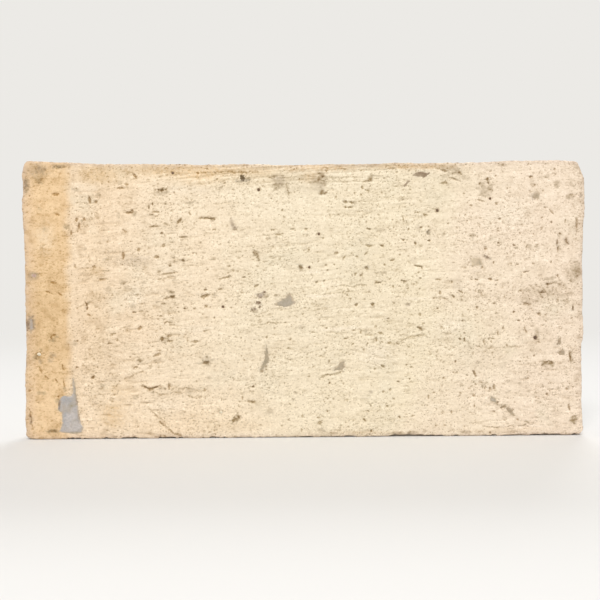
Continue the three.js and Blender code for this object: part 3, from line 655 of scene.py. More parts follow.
        (-49.1, 79, 3.2, 2.6, 0.28), (76.1, 111.1, 2.8, 2, 0.28), (-137.7, 54.5, 3.4, 2.4, 0.36),
        (-111.5, 133.7, 2.6, 2.6, 0.3), (-106.8, 82.1, 4, 4.4, 0.2), (128, 56.5, 2.4, 5, 0.28),
        (123.3, 104.3, 4, 2.6, 0.3), (53.6, 55.9, 4.4, 2, 0.18), (-131.6, 27.6, 2, 3.4, 0.24),
        (9.7, 141.6, 6.5, 5, 0.2), (4.6, 140, 5, 3, 0.26, 10), (10, 138.6, 5.5, 2.4, 0.3, 15),
        (-1, 142.4, 10, 1.6, 0.12), (-16.5, 142.5, 6, 3, 0.16), (-14, 138.6, 6.5, 3, 0.38),
        (82, 144.5, 12, 3, 0.26, 5), (77, 143, 5, 2, 0.22), (88, 142, 5, 2, 0.3, -20),
        (97, 138.5, 3, 3, 0.36), (101.5, 136.5, 4, 2, 0.36, 30), (99, 132.5, 5, 2, 0.3),
        (-37.2, 10.8, 5, 2.2, 0.55, 40), (-39.6, 8.8, 3.4, 1.8, 0.4, 30), (-78.1, 27.8, 6, 1.8, 0.22),
        (-21.3, 77.8, 2.6, 2.4, 0.4), (-83.6, 25.6, 2.6, 1.4, 0.34), (127.9, 74.7, 2.4, 3.6, 0.3),
        (-14.8, 78.3, 2.2, 2, 0.34), (-135.5, 21.5, 2.4, 2.4, 0.36), (134.4, 86.7, 7.6, 1.6, 0.3, 5),
        (-67.2, 118.9, 1.8, 2.4, 0.36), (-50, 43.4, 3.2, 2, 0.26), (101.9, 108.8, 3.4, 2, 0.3),
        (-16.4, 83.2, 3, 1.6, 0.32), (-6.4, 21.1, 2.2, 1.8, 0.36), (6.3, 131, 2.8, 1.6, 0.28),
        (-117.8, 75.1, 1.6, 2.4, 0.36), (-135.5, 56.6, 2.2, 1.8, 0.36), (-61.7, 129.1, 3.4, 1.4, 0.36),
        (64.1, 59.2, 2.8, 2, 0.36), (-15.4, 136.5, 3, 2.6, 0.34), (-123.9, 136.4, 3.8, 2, 0.3),
        (-8.9, 139.2, 2, 2.2, 0.34), (-70.8, 87.3, 2.8, 1.6, 0.28), (142.6, 105.3, 2.2, 1.6, 0.34),
        (-49.8, 119.9, 2.6, 2, 0.4), (-4.7, 25, 1.6, 1.6, 0.36), (-100, 140.1, 2.2, 2, 0.3),
        (-15.1, 109.4, 1.6, 2.8, 0.28), (130.9, 79.2, 3.4, 1, 0.28), (-106.4, 32.3, 13, 6, 0.09),
        (-54.2, 66.5, 10, 7, 0.08), (90.5, 50.2, 5, 4.4, 0.09), (108.7, 40.1, 4.4, 8, 0.08),
        (119.7, 54.9, 5.4, 8, 0.07), (0.2, 107.7, 9, 8, 0.06), (15.4, 101.6, 6, 5, 0.07),
        (-29.7, 55.9, 7, 7, 0.06), (-12.9, 24.5, 11, 5, 0.06), (-109.1, 109.3, 15, 7, 0.06),
        (-52.9, 41.2, 2.6, 2.6, 0.34), (-81.4, 116.2, 10, 1.4, 0.3, 3), (55.3, 85.5, 2.8, 1.8, 0.36),
        (-21.6, 38.8, 1.4, 3.4, 0.36), (-40.9, 88.8, 1.6, 2, 0.36), (37.2, 71.9, 3.2, 1.6, 0.34),
        (-1.6, 92.4, 2.2, 2, 0.36), (104.9, 18.2, 6, 1.6, 0.34, -30), (-74.1, 135.1, 2.2, 1.6, 0.34),
        (-120.3, 119.7, 1.6, 1.6, 0.34), (-78.6, 133.9, 2.6, 2, 0.3), (139.8, 104.2, 1.6, 4.4, 0.3),
        (139.8, 110.8, 2.4, 2.4, 0.34), (127.7, 104.3, 2.8, 2, 0.3), (62.5, 114.4, 2, 4, 0.28),
        (41.7, 114, 6, 2.4, 0.2), (42.7, 90.5, 7.6, 1.6, 0.28, 2), (93.1, 106.1, 1.6, 2, 0.3),
        (116.2, 103.8, 2, 2, 0.3), (-45.3, 137.2, 1.6, 2, 0.3), (78.3, 138.3, 2, 2.8, 0.3),
        (-52.9, 33.6, 1.6, 2, 0.3), (-26.8, 69.6, 4.4, 1.6, 0.3, 5), (-26.1, 19, 2.2, 2.8, 0.28),
        (-19.4, 109.9, 2.2, 1.6, 0.32), (-107.1, 98.4, 5, 1.6, 0.28), (-119.5, 104.5, 2.8, 1.6, 0.28),
        (-141, 114.9, 2.8, 3, 0.24), (-143.5, 126.3, 2, 2, 0.28), (145, 89, 8, 16, 0.1),
        (146.6, 44, 2, 8, 0.3, 4), (-147, 45, 3.6, 3, 0.4), (-144.2, 49.5, 2.6, 1.4, 0.25, -20),
        (-144.2, 25.6, 5.4, 2.4, 0.28), (-1, 138, 34, 12, 0.11), (88, 139, 56, 9, 0.055),
        (72, 127, 18, 14, 0.06), (-20, 127, 16, 10, 0.035), (-108, 48, 16, 18, 0.04),
        (101, 44, 18, 24, 0.04), (-108, 105, 14, 12, 0.05), (-110, 70, 20, 20, 0.04),
        (-122, 66, 12, 22, 0.035), (-70, 25, 34, 8, 0.05), (-27, 18, 16, 12, 0.05),
        (6.5, 100, 14, 22, 0.035), (137, 28, 14, 14, 0.035), (6.5, 45, 14, 20, 0.025),
    ),
    Tone.MAUVE: (
        (-24.2, 78.4, 4, 2.6, 0.7, 10), (-25.3, 74.4, 2.2, 2, 0.95), (-24.7, 72.7, 1.2, 3, 0.6),
        (-28, 70.9, 3.2, 1.8, 0.6, 12), (-22, 80.2, 1.7, 1.5, 0.85), (-39.1, 117.4, 2, 5.4, 0.42, 14),
        (-37.8, 115, 2.8, 1.8, 0.5), (-137.4, 46.6, 3.2, 3, 0.24, -20), (-138.8, 44, 2.8, 3.6, 0.26),
        (-147.6, 89.6, 7, 5, 0.26), (-149.6, 63.6, 5, 8.4, 0.6), (-150.3, 10.9, 2.2, 5, 0.35, 5),
        (147.5, 70, 1.4, 3.6, 0.3), (-144.5, 42.8, 2.6, 3, 0.22), (-93, 97.5, 24, 8, 0.18, 4),
        (99.7, 98.7, 5.6, 1.6, 0.6, -18), (56.5, 72.8, 1.8, 1.6, 0.55), (36, 25, 2.4, 2, 0.25),
        (143.8, 107, 3, 4.4, 0.16, 20), (138.5, 106, 1.6, 5, 0.2), (151.6, 132, 1.8, 3.4, 0.4),
        (95, 40.6, 2.4, 1.8, 0.2, -20), (-66.3, 97.8, 2.6, 2.2, 0.15), (-2, 61, 3, 2.6, 0.12),
        (-145, 147, 16, 9, 0.24), (-13, 141.5, 7, 6, 0.2), (8, 141.8, 9, 8, 0.12), (8, 137, 7, 4, 0.1),
        (-150, 140, 3, 5.4, 0.2), (125.6, 131.6, 4, 4, 0.25), (84.5, 83, 6, 9, 0.1), (60, 97.5, 3, 3, 0.14),
    ),
    Tone.PALE: (
        (-76, 17, 30, 12, 0.24), (-62, 136, 34, 5, 0.2), (-118, 138, 24, 8, 0.22), (112, 122, 30, 20, 0.32),
        (39, 46, 26, 20, 0.32), (80, 61, 26, 12, 0.26), (-75, 94, 14, 10, 0.24), (-92, 78, 16, 22, 0.22),
        (-27, 72, 14, 12, 0.22), (-141, 110, 12, 22, 0.16), (-60, 60, 30, 5, 0.2, 4),
        (20, 60, 34, 2.4, 0.36, 3), (12, 78, 26, 2, 0.34, 2), (60, 76, 24, 1.8, 0.3), (4, 91, 20, 1.8, 0.3),
    ),
    Tone.DARK: (
        (-33.3, 142.2, 2.4, 3.2, 1, 10), (-30.7, 141.5, 3.6, 2.4, 0.32), (-35.6, 140.6, 3, 1.4, 0.28),
        (-54.2, 43, 4.4, 5, 0.16, 10), (-57.6, 41.4, 3, 1, 0.14, 5), (-52.4, 44, 3.4, 1, 0.14, -18),
        (-119, 73, 1.2, 4.4, 0.16), (-72.3, 77.8, 3.6, 2, 0.16), (34, 93.2, 3, 2, 0.2, -20),
        (-2, 94.4, 3, 2.8, 0.18), (67.9, 112.4, 2, 2.6, 0.45), (22.6, 129.2, 3, 2.2, 0.14),
    ),
}

# Folds left by the scraping, as a width and the points of the run. The clay on a run's left is raised.
LAPS = (
    (0.7, ((-89.9, 29.3), (-87.6, 28.6), (-84.9, 27.2), (-82.7, 28), (-79.7, 29.3), (-78.3, 28.5))),
    (0.55, ((-79.7, 29.3), (-78.3, 28.3), (-76.2, 27.9))),
    (0.6, ((-74.2, 29.8), (-74.5, 27.2))),
    (0.4, ((-72.9, 27.8), (-69.6, 27.6), (-65.8, 27.9), (-61.4, 27.3))),
    (0.55, ((-61.4, 27.3), (-57.6, 26.2), (-53.7, 27))),
    (0.4, ((-82, 25.6), (-80, 24), (-77, 24.4), (-72, 25.4), (-66, 25))),
    (0.4, ((-64, 23.6), (-60, 22), (-57, 23))),
    (0.45, ((-86, 16.9), (-84, 15.1), (-82.4, 13.7), (-80.5, 11.2))),
    (
        0.65,
        ((-81.4, 12.4), (-80.5, 11.2), (-78.8, 8.6), (-76.7, 6.6), (-74.7, 4.9), (-71, 2.4), (-68.3, 1.7)),
    ),
    (0.55, ((-145.2, 40.1), (-143.7, 37), (-142.4, 34.8), (-140.3, 33.7))),
    (0.3, ((-151.2, 18), (-150.5, 12), (-149.6, 7.5))),
    (0.5, ((-9.4, 139), (-9.2, 136), (-8.4, 132.8))),
    (0.6, ((8.8, 33.9), (13, 34.4), (17, 35.2), (21.4, 36.6))),
    (0.5, ((52, 52.4), (56, 54.4), (62, 55.8), (67, 56))),
    (0.5, ((79.5, 142.5), (82.5, 141.3), (85.8, 140))),
    (0.36, ((138.6, 88.8), (142.2, 82.9), (145.4, 80.1))),
    (0.3, ((133.1, 83.8), (137.7, 84.7), (142.2, 82.4))),
    (0.26, ((139, 82.5), (142.5, 84.8), (146, 83.4), (148.5, 80))),
    (0.24, ((136.5, 80.4), (141, 82), (144.5, 80.6), (147, 77.6))),
    (0.4, ((136, 81), (138.6, 77.5), (139.4, 74))),
    (0.4, ((144.1, 74.4), (149.2, 74.4))),
    (0.4, ((124, 82.5), (128, 79.6), (131, 76))),
    (0.35, ((127, 83), (131.5, 80.4), (135, 76.6))),
    (0.4, ((-106, 27), (-101, 31.5), (-95, 34.5), (-88, 38), (-85, 40))),
    (0.28, ((-60.5, 101.5), (-56, 102), (-53.5, 102.3))),
    (0.35, ((-83, 86.9), (-77, 87.6), (-72, 88))),
    (0.4, ((-30, 62), (-20, 63.2), (-8, 63.5))),
    (0.4, ((10, 79), (20, 79.6), (28, 80.6))),
    (0.4, ((14, 83.4), (26, 83), (34, 84))),
    (0.4, ((100, 48.4), (110, 49.2), (120, 49.6))),
    (0.4, ((98, 5.2), (108, 4.6), (118, 5.6), (126, 6.8))),
    (0.45, ((-55, 145.2), (-40, 145.6), (-25, 145))),
    (0.26, ((-20, 142.2), (0, 143), (20, 142.4), (34, 142.8))),
    (0.25, ((12, 147.4), (30, 146.4), (50, 147))),
    (0.22, ((8, 140.6), (20, 140.3), (33, 140.3))),
    (0.4, ((13, 122.4), (18, 122.2), (24, 122.6))),
    (0.4, ((130.5, 39), (132, 40.6), (134, 41.2), (136.4, 40.2))),
)

# Long shallow chips of the lower arris, as the x of the middle, length and height
EDGE_CHIPS = (
    (56, 23, 1.15), (133, 21, 0.6), (-75.5, 11, 0.55), (1, 8, 0.35), (71, 12, 0.45), (-97, 9, 0.4),
    (-50, 7, 0.35), (94, 9, 0.3),
)

# Tints of the mortar scraps, in the same way as the smears
MORTAR_TINTS: dict[Damp, tuple[tuple[float, ...], ...]] = {
    Damp.COOL: ((-130.4, 22.4, 7, 6, 0.6), (-130.5, 11, 5, 9, 0.45), (-125.5, 8, 6, 8, 0.3)),
    Damp.PALE: (
        (-9.5, 73.5, 14, 10, 0.16), (-128.6, 12.2, 6.5, 5, 0.6, 20), (-126.8, 7.5, 8.5, 6, 0.5),
        (-128.2, 24, 3, 3, 0.45), (-148.8, 63.6, 5, 10, 0.1),
    ),
    Damp.OLIVE: (
        (-127.6, 19, 5, 2.6, 0.4, 10), (-125.3, 30, 3, 14, 0.45, -4), (-126.5, 3.6, 13, 2, 0.5),
        (103.7, 20.5, 6, 5, 0.4), (-22, 44, 8, 18, 0.2),
    ),
    Damp.WARM: (
        (97, 97.4, 8, 8, 0.15), (-134.6, 20.5, 2, 4.5, 0.7), (-123.4, 14.5, 2.2, 9, 0.5, -6),
        (-124.6, 23, 2, 8, 0.4, -6), (-148.8, 63.6, 7, 12, 0.5), (-25, 78.3, 9, 6, 0.3),
        (-138, 45.6, 5, 7, 0.6), (64.4, 143.8, 13, 6, 0.75), (56.5, 139, 6, 5, 0.7), (127, 132, 6, 5, 0.35),
        (140, 52, 4, 6, 0.6), (141, 46.3, 6, 5, 0.55), (113.4, 13.6, 8, 7, 0.45),
    ),
    Damp.ROSE: ((-147.3, 90, 9, 7, 0.62),),
    Damp.DARK: (
        (-33.6, 142.2, 3.6, 5, 0.86, 10), (-30.4, 141.2, 5, 4, 0.8), (-134.8, 18, 1.2, 4, 0.4),
        (-122.7, 12.5, 1, 5, 0.25), (64.4, 144.2, 9, 3, 0.25),
    ),
}


# Numbers in the plane of the back


class Relief:
    """Seeded smooth noise over a plane."""

    CELLS = 256

    def __init__(self, seed: int) -> None:
        """Draws the lattice.

        Args:
            seed: Seed of the lattice.
        """
        self.lattice = np.random.default_rng(seed).random((self.CELLS, self.CELLS)) * 2 - 1

    def at(self, x: Array, z: Array, octaves: int = 1) -> Array:
        """Noise between about -1 and 1.

        Args:
            x: First coordinate, in cells.
            z: Second coordinate, in cells.
            octaves: How many times finer noise is added at half the height.

        Returns:
            The noise at each point.
        """
        total = np.zeros(np.broadcast(x, z).shape)
        spread = 0.0
        for octave in range(octaves):
            share = 0.5**octave
            total += share * self._layer(x * 2**octave + 17.3 * octave, z * 2**octave + 5.1 * octave)
            spread += share
        return total / spread

    def _layer(self, x: Array, z: Array) -> Array:
        """One layer of the noise.

        Args:
            x: Places across, counted in cells.
            z: Places upward, counted in cells.

        Returns:
            The layer's value at each place.
        """
        column, row = np.floor(x).astype(int), np.floor(z).astype(int)
        u, v = x - column, z - row
        u, v = u * u * (3 - 2 * u), v * v * (3 - 2 * v)
        left, right = column % self.CELLS, (column + 1) % self.CELLS
        low, high = row % self.CELLS, (row + 1) % self.CELLS
        below = self.lattice[left, low] * (1 - u) + self.lattice[right, low] * u
        above = self.lattice[left, high] * (1 - u) + self.lattice[right, high] * u
        return below * (1 - v) + above * v


def eased(value: Array, low: float, high: float) -> Array:
    """A value brought smoothly from the range low to high onto 0 to 1."""
    share = np.clip((value - low) / (high - low), 0, 1)
    return share * share * (3 - 2 * share)


def near(x: Array, z: Array, points: Array | list, margin: float) -> Array:
    """Which places lie within a margin of the box round some points."""
    low, high = np.min(points, axis=0) - margin, np.max(points, axis=0) + margin
    return np.flatnonzero((x > low[0]) & (x < high[0]) & (z > low[1]) & (z < high[1]))


def run_distance(x: Array, z: Array, run: Array) -> tuple[Array, Array]:
    """Distance of places from a broken line, and on which side of it they lie.

    Args:
        x: Places along the tile.
        z: Places above the lower edge.
        run: The line's points as rows of x and z.

    Returns:
        The distance, and the distance with a sign, positive on the line's left.
    """
    best = np.full(x.shape, np.inf)
    side = np.zeros(x.shape)
    for start, end in zip(run[:-1], run[1:]):
        stretch = end - start
        length = max(float(np.hypot(*stretch)), 1e-6)
        share = ((x - start[0]) * stretch[0] + (z - start[1]) * stretch[1]) / length**2
        share = np.clip(share, 0, 1)
        away_x = x - start[0] - share * stretch[0]
        away_z = z - start[1] - share * stretch[1]
        distance = np.hypot(away_x, away_z)
        nearer = distance < best
        best = np.where(nearer, distance, best)
        side = np.where(nearer, (stretch[0] * away_z - stretch[1] * away_x) / length, side)
    return best, side


def depth_inside(x: Array, z: Array, outline: Array) -> Array:
    """How deep inside a closed outline places lie, negative outside.

    Args:
        x: Places along the tile.
        z: Places above the lower edge.
        outline: The outline's points as rows of x and z.

    Returns:
        The distance to the outline, with its sign.
    """
    closed = np.vstack([outline, outline[:1]])
    distance, _ = run_distance(x, z, closed)
    crossings = np.zeros(x.shape, dtype=int)
    for (x0, z0), (x1, z1) in zip(closed[:-1], closed[1:]):
        spans = (z0 > z) != (z1 > z)
        at = x0 + (z - z0) * (x1 - x0) / (z1 - z0 if z1 != z0 else 1)
        crossings += spans & (x < at)
    return np.where(crossings % 2 == 1, distance, -distance)


# Meshes


def mesh_of(name: str, points: Array, faces: list) -> Piece:
    """An object at the origin from points in millimetres.

    Args:
        name: The object's name.
        points: Rows of x, y and z.
        faces: The faces, as arrays or lists of point numbers.

    Returns:
        The new object, linked to the scene.
    """
    mesh = bpy.data.meshes.new(name)
    mesh.from_pydata((np.asarray(points) * MM).tolist(), [], [list(map(int, face)) for face in faces])
    piece = bpy.data.objects.new(name, mesh)
    bpy.context.scene.collection.objects.link(piece)
    mesh.shade_smooth()
    return piece


def points_of(piece: Piece) -> Array:
    """A mesh object's points in millimetres, as rows.

    Args:
        piece: The mesh object.

    Returns:
        Rows of x, y and z.
    """
    flat = np.zeros(len(piece.data.vertices) * 3, np.float32)
    piece.data.vertices.foreach_get("co", flat)
    return flat.reshape(-1, 3).astype(float) / MM


def baked(piece: Piece) -> None:
    """Turns a piece's live modifiers into its own mesh and takes them off.

    Args:
        piece: The mesh object with the modifiers.
    """
    graph = bpy.context.evaluated_depsgraph_get()
    old = piece.data
    made = bpy.data.meshes.new_from_object(piece.evaluated_get(graph))
    piece.modifiers.clear()
    piece.data = made
    bpy.data.meshes.remove(old)


def grown(piece: Piece, tree: Tree, values: dict[str, object]) -> None:
    """Runs a geometry tree on a piece and keeps the result as its mesh.

    Args:
        piece: The object to change.
        tree: The geometry tree.
        values: The tree's inputs by name.
    """
    modifier = piece.modifiers.new(tree.name, "NODES")
    modifier.node_group = tree
    for item in tree.interface.items_tree:
        if item.item_type == "SOCKET" and item.in_out == "INPUT" and item.name in values:
            modifier[item.identifier] = values[item.name]
    baked(piece)


def geometry_tree(name: str, inputs: dict[str, str]) -> tuple[Canvas, bpy.types.Node]:
    """An empty geometry tree with named inputs and one geometry out.

    Args:
        name: The tree's name.
        inputs: Each input's name and the kind of its socket, such as Float.

    Returns:
        The canvas and the node that holds the inputs.
    """
    tree = bpy.data.node_groups.new(name, "GeometryNodeTree")
    tree.interface.new_socket("Geometry", in_out="INPUT", socket_type="NodeSocketGeometry")
    for title, kind in inputs.items():
        tree.interface.new_socket(title, in_out="INPUT", socket_type=f"NodeSocket{kind}")
    tree.interface.new_socket("Geometry", in_out="OUTPUT", socket_type="NodeSocketGeometry")
    canvas = Canvas(tree)
    return canvas, canvas.add("NodeGroupInput")


def close_tree(canvas: Canvas, geometry: Socket, material: Socket) -> Tree:
    """Ends a geometry tree in Realize Instances and Set Material.

    Args:
        canvas: The tree.
        geometry: Its geometry so far.
        material: The input that holds the material.

    Returns:
        The tree.
    """
    real = canvas.add("GeometryNodeRealizeInstances", {0: geometry})
    painted = canvas.add("GeometryNodeSetMaterial", {"Geometry": real.outputs[0], "Material": material})
    canvas.add("NodeGroupOutput", {0: painted.outputs[0]})
    return canvas.tree


def settled(piece: Piece, slot: str, node: str) -> None:
    """Puts a finished piece in the frame in place of its node, and reports it.

    Args:
        piece: The finished object.
        slot: The record's material slot of its finish.
        node: The node that it stands for.
    """
    piece.data.shade_smooth()
    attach(piece, BODY)
    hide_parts(node)
    triangles = sum(len(face.vertices) - 2 for face in piece.data.polygons)
    LOG.info("%s: %d triangles, slot %s", piece.name, triangles, slot)


def store(piece: Piece, name: str, values: Array) -> None:
    """Keeps one number for each point of a piece as an attribute."""
    attribute = piece.data.attributes.new(name, "FLOAT", "POINT")
    attribute.data.foreach_set("value", values.astype(np.float32))


def cap_outline(node: Piece) -> Array:
    """The outline of a plate's flat face towards the back.

    Args:
        node: The plate, a CAD node with a flat face at its lowest y.

    Returns:
        The outline's points in order, as rows of x and z in millimetres.
    """
    keys = [tuple(float(value) for value in point) for point in np.round(points_of(node), 3)]
    lowest = min(key[1] for key in keys)
    edges = set()
    for face in node.data.polygons:
        corners = [keys[index] for index in face.vertices]
        if max(corner[1] for corner in corners) < lowest + 0.01:
            edges.update(zip(corners, corners[1:] + corners[:1]))
    border = {first: second for first, second in edges if (second, first) not in edges}
    walk = [min(border)]
    while border[walk[-1]] != walk[0]:
        walk.append(border[walk[-1]])
    return np.array([[x, z] for x, _, z in walk])


# Finishes


def new_finish(name: str) -> tuple[Material, Canvas]:
    """A new material, ready for its colours.

    Args:
        name: The finish's name without its ending.

    Returns:
        The material, and its canvas with the place on the piece.
    """
    material = bpy.data.materials.new(f"{name}_finish")
    material.use_nodes = True
    canvas = Canvas(material.node_tree)
    canvas.measure(canvas.add("ShaderNodeTexCoord").outputs["Object"])
    return material, canvas


@dataclass(frozen=True)
class ClayFinish:
    """Dry unglazed cream clay, scraped lengthwise, with an ochre stain down the left end.

    Attributes:
        ground: The clay's colours along the tile, each with the x where it is reached.
        upper: Its colour along the top edge.
        mortar: What mortar smeared on the clay looks like.
        shades: The colours of the stains.
        hole_levels: How many 8-bit display levels a hole's dirt and painted shade darken the clay.
        drop_tint: The share of a drop in levels that each channel takes.
        deepest: The darkest that the clay gets, as display shares.
        band_edge: Where the ochre stain ends.
        bump_height: Height of the relief too fine for the mesh.
    """

    ground: tuple[tuple[float, Rgb], ...] = (
        (-124.0, srgb(243, 219, 188)),
        (-76.0, srgb(245, 225, 197)),
        (-10.0, srgb(244, 229, 202)),
        (55.0, srgb(243, 228, 200)),
        (104.0, srgb(244, 226, 202)),
        (137.0, srgb(243, 224, 201)),
    )
    green_grey: Rgb = srgb(233, 221, 196)
    upper: Rgb = srgb(238, 214, 176)
    mortar: Rgb = srgb(190, 176, 154)
    # The arris's colour: its pinkish wear and painted shade along the edge.
    worn: Rgb = srgb(200, 178, 160)
    side_dirt: Rgb = srgb(186, 158, 126)
    side_lime: Rgb = srgb(233, 223, 205)
    shades: tuple[tuple[Tone, Rgb], ...] = (
        (Tone.PALE, srgb(255, 241, 219)),
        (Tone.OCHRE, srgb(228, 198, 156)),
        (Tone.BROWN, srgb(153, 130, 94)),
        (Tone.MAUVE, srgb(152, 132, 110)),
        (Tone.DARK, srgb(98, 80, 50)),
    )
    hole_levels: float = 84.0
    drop_tint: Rgb = (0.94, 1.0, 1.07)
    deepest: Rgb = (0.42, 0.35, 0.24)
    band_edge: float = -128.6
    band_top: Rgb = srgb(237, 204, 160)
    band_middle: Rgb = srgb(226, 193, 148)
    band_low: Rgb = srgb(238, 206, 163)
    band_end: Rgb = srgb(226, 196, 164)
    band_pale: Rgb = srgb(240, 208, 164)
    band_rubbed: Rgb = srgb(206, 166, 116)
    roughness: float = 0.93
    specular: float = 0.2
    bump_height: float = 0.16

    # How the colours lie, each a share of its colour
    ground_wander: Patches = Patches(42.0, 3.0, 0.3, 0.7, (-20, 20), soft=False)
    green_patches: Patches = Patches(24.0, 4.0, 0.52, 0.72, (0, 0.4), shift=(71.0, 13.0, 29.0))
    stain_fray: Patches = Patches(1.5, 4.0, 0.32, 0.68, (0.7, 2.4), soft=False)
    mortar_fray: Patches = Patches(1.3, 4.0, 0.35, 0.65, (0, 0.6), soft=False)
    band_wander: Patches = Patches(9.0, 3.0, 0.3, 0.7, (-1.6, 1.6), soft=False)
    band_mottle: Patches = Patches(6, 4.0, 0.38, 0.66, (0, 0.42), height=14)
    band_rub: Patches = Patches(3.4, 4.0, 0.5, 0.72, (0, 0.26))
    rim_wear_and_shade: Patches = Patches(2.6, 3.0, 0.3, 0.7, (0.35, 1.25), soft=False)
    dirt_patches: Patches = Patches(2.6, 6.0, 0.44, 0.76, (0, 0.6))
    lime_patches: Patches = Patches(4.2, 7.0, 0.52, 0.7, (0, 0.75), shift=(5.0, 31.0, 9.0))

    # How the clay's grain and the scrape darken it, in display levels, and below 0 where they lighten it
    dashes: Patches = Patches(1.7, 2.0, 0.6, 0.7, (0, 25), height=0.85, turn=4)
    dash_crowd: Patches = Patches(13.0, 3.0, 0.35, 0.65, (-0.03, 0.06), soft=False)
    clots: Patches = Patches(3.4, 4.0, 0.56, 0.72, (0, 22), height=2.4, turn=6, shift=(9.0, 4.0, 7.0))
    flecks: Patches = Patches(0.85, 2.0, 0.54, 0.68, (0, -14), shift=(3.0, 8.0, 5.0))
    broad: Patches = Patches(30, 3.0, 0.35, 0.65, (5, -3), height=6, turn=4)
    lumps: Patches = Patches(2.6, 4.0, 0.25, 0.75, (6, -5), height=2.0, turn=5, soft=False)
    speckle: Patches = Patches(0.75, 2.0, 0.28, 0.72, (7, -6), soft=False)
    clouds: Patches = Patches(5.5, 4.0, 0.5, 0.7, (0, 14), shift=(41.0, 2.0, 17.0))
    streaks: Patches = Patches(30, 2.0, 0.38, 0.62, (14, -13), height=1.3, turn=4, soft=False)

    # How the drag lines bend, and how the holes fray
    line_bend: Patches = Patches(46.0, 1.0, 0.2, 0.8, (-5.0, 5.0), soft=False)
    hole_fray: Patches = Patches(0.8, 3.0, 0.3, 0.7, (-0.4, 0.4), soft=False)

    def made(self) -> Material:
        """Makes the material.

        Returns:
            The material.
        """
        material, canvas = new_finish("clay")
        on_back = canvas.span(canvas.y, -4.6, -5.4)
        colour = self._body_colour(canvas)
        band = self._band_share(canvas, on_back)
        colour = canvas.blend(band, colour, self._band_colour(canvas))
        fray = self.stain_fray.on(canvas)
        for tone, shade in self.shades:
            colour = canvas.blend(canvas.capped(canvas.kept(tone.value), fray), colour, shade)
        smeared = canvas.times(canvas.kept("mortar"), self.mortar_fray.on(canvas))
        colour = canvas.blend(smeared, colour, self.mortar)
        colour = self._worn_and_shaded_rim(canvas, colour)
        lines = self._drag_lines(canvas)
        levels = self._scrape_shade(canvas, lines, on_back, band)
        levels = self._holes(canvas, levels, on_back, band)
        colour = canvas.darker(colour, levels, self.drop_tint, self.deepest)
        grain = canvas.noise(canvas.place, 0.45, 3.0)
        height = canvas.math("MULTIPLY_ADD", grain, 0.35, canvas.times(lines, 0.65))
        canvas.dress(colour, self.roughness, height, self.bump_height, specular=self.specular)
        return material

    def _body_colour(self, canvas: Canvas) -> Socket:
        """The cream with its broad yellow, pink and grey mottles.

        Args:
            canvas: The material's tree.

        Returns:
            The colour.
        """
        x, z = canvas.x, canvas.z
        along = canvas.math("ADD", x, self.ground_wander.on(canvas))
        start, colour = self.ground[0]
        for end, shade in self.ground[1:]:
            colour = canvas.blend(canvas.span(along, start, end, soft=False), colour, shade)
            start = end
        colour = canvas.blend(self.green_patches.on(canvas), colour, self.green_grey)
        reach = canvas.times(canvas.span(x, 20, -30, (0, 0.36)), canvas.span(x, -128, -108))
        return canvas.blend(canvas.times(canvas.span(z, 134, 148), reach), colour, self.upper)

    def _band_share(self, canvas: Canvas, on_back: Socket) -> Socket:
        """How much of the ochre stain lies on a place: all left of its straight, slightly soft border.

        Args:
            canvas: The material's tree.
            on_back: 1 on the back and 0 on the sides.

        Returns:
            The share.
        """
        drift = canvas.span(canvas.z, 150, 0, (1.2, -0.8), soft=False)
        along = canvas.math("ADD", canvas.x, self.band_wander.on(canvas))
        border = canvas.math("SUBTRACT", along, drift)
        inside = canvas.span(border, self.band_edge + 2.4, self.band_edge - 3.2)
        return canvas.times(inside, canvas.span(on_back, 0, 1, (0.35, 0.95)))

    def _band_colour(self, canvas: Canvas) -> Socket:
        """The ochre stain's colour, paler towards its ends and mottled up and down.

        Args:
            canvas: The material's tree.

        Returns:
            The colour.
        """
        x, z = canvas.x, canvas.z
        low = canvas.blend(canvas.span(z, 20, 70), self.band_low, self.band_middle)
        band = canvas.blend(canvas.span(z, 75, 118), low, self.band_top)
        band = canvas.blend(canvas.span(x, -144, -151, (0, 0.4)), band, self.band_end)
        band = canvas.blend(self.band_mottle.on(canvas), band, self.band_pale)
        return canvas.blend(self.band_rub.on(canvas), band, self.band_rubbed)

    def _drag_lines(self, canvas: Canvas) -> Socket:
        """Fine lines along the scrape, about 0.5, which give the bump and painted shade in their low parts.

        Args:
            canvas: The material's tree.

        Returns:
            The lines.
        """
        bent = canvas.joined(canvas.x, canvas.y, canvas.math("ADD", canvas.z, self.line_bend.on(canvas)))
        broad = canvas.noise(canvas.cells(bent, 11, 1.1, 4), 1.0, 3.0)
        fine = canvas.noise(canvas.cells(bent, 4.5, 0.5, 5), 1.0, 2.0)
        return canvas.math("MULTIPLY_ADD", fine, 0.4, canvas.times(broad, 0.6))

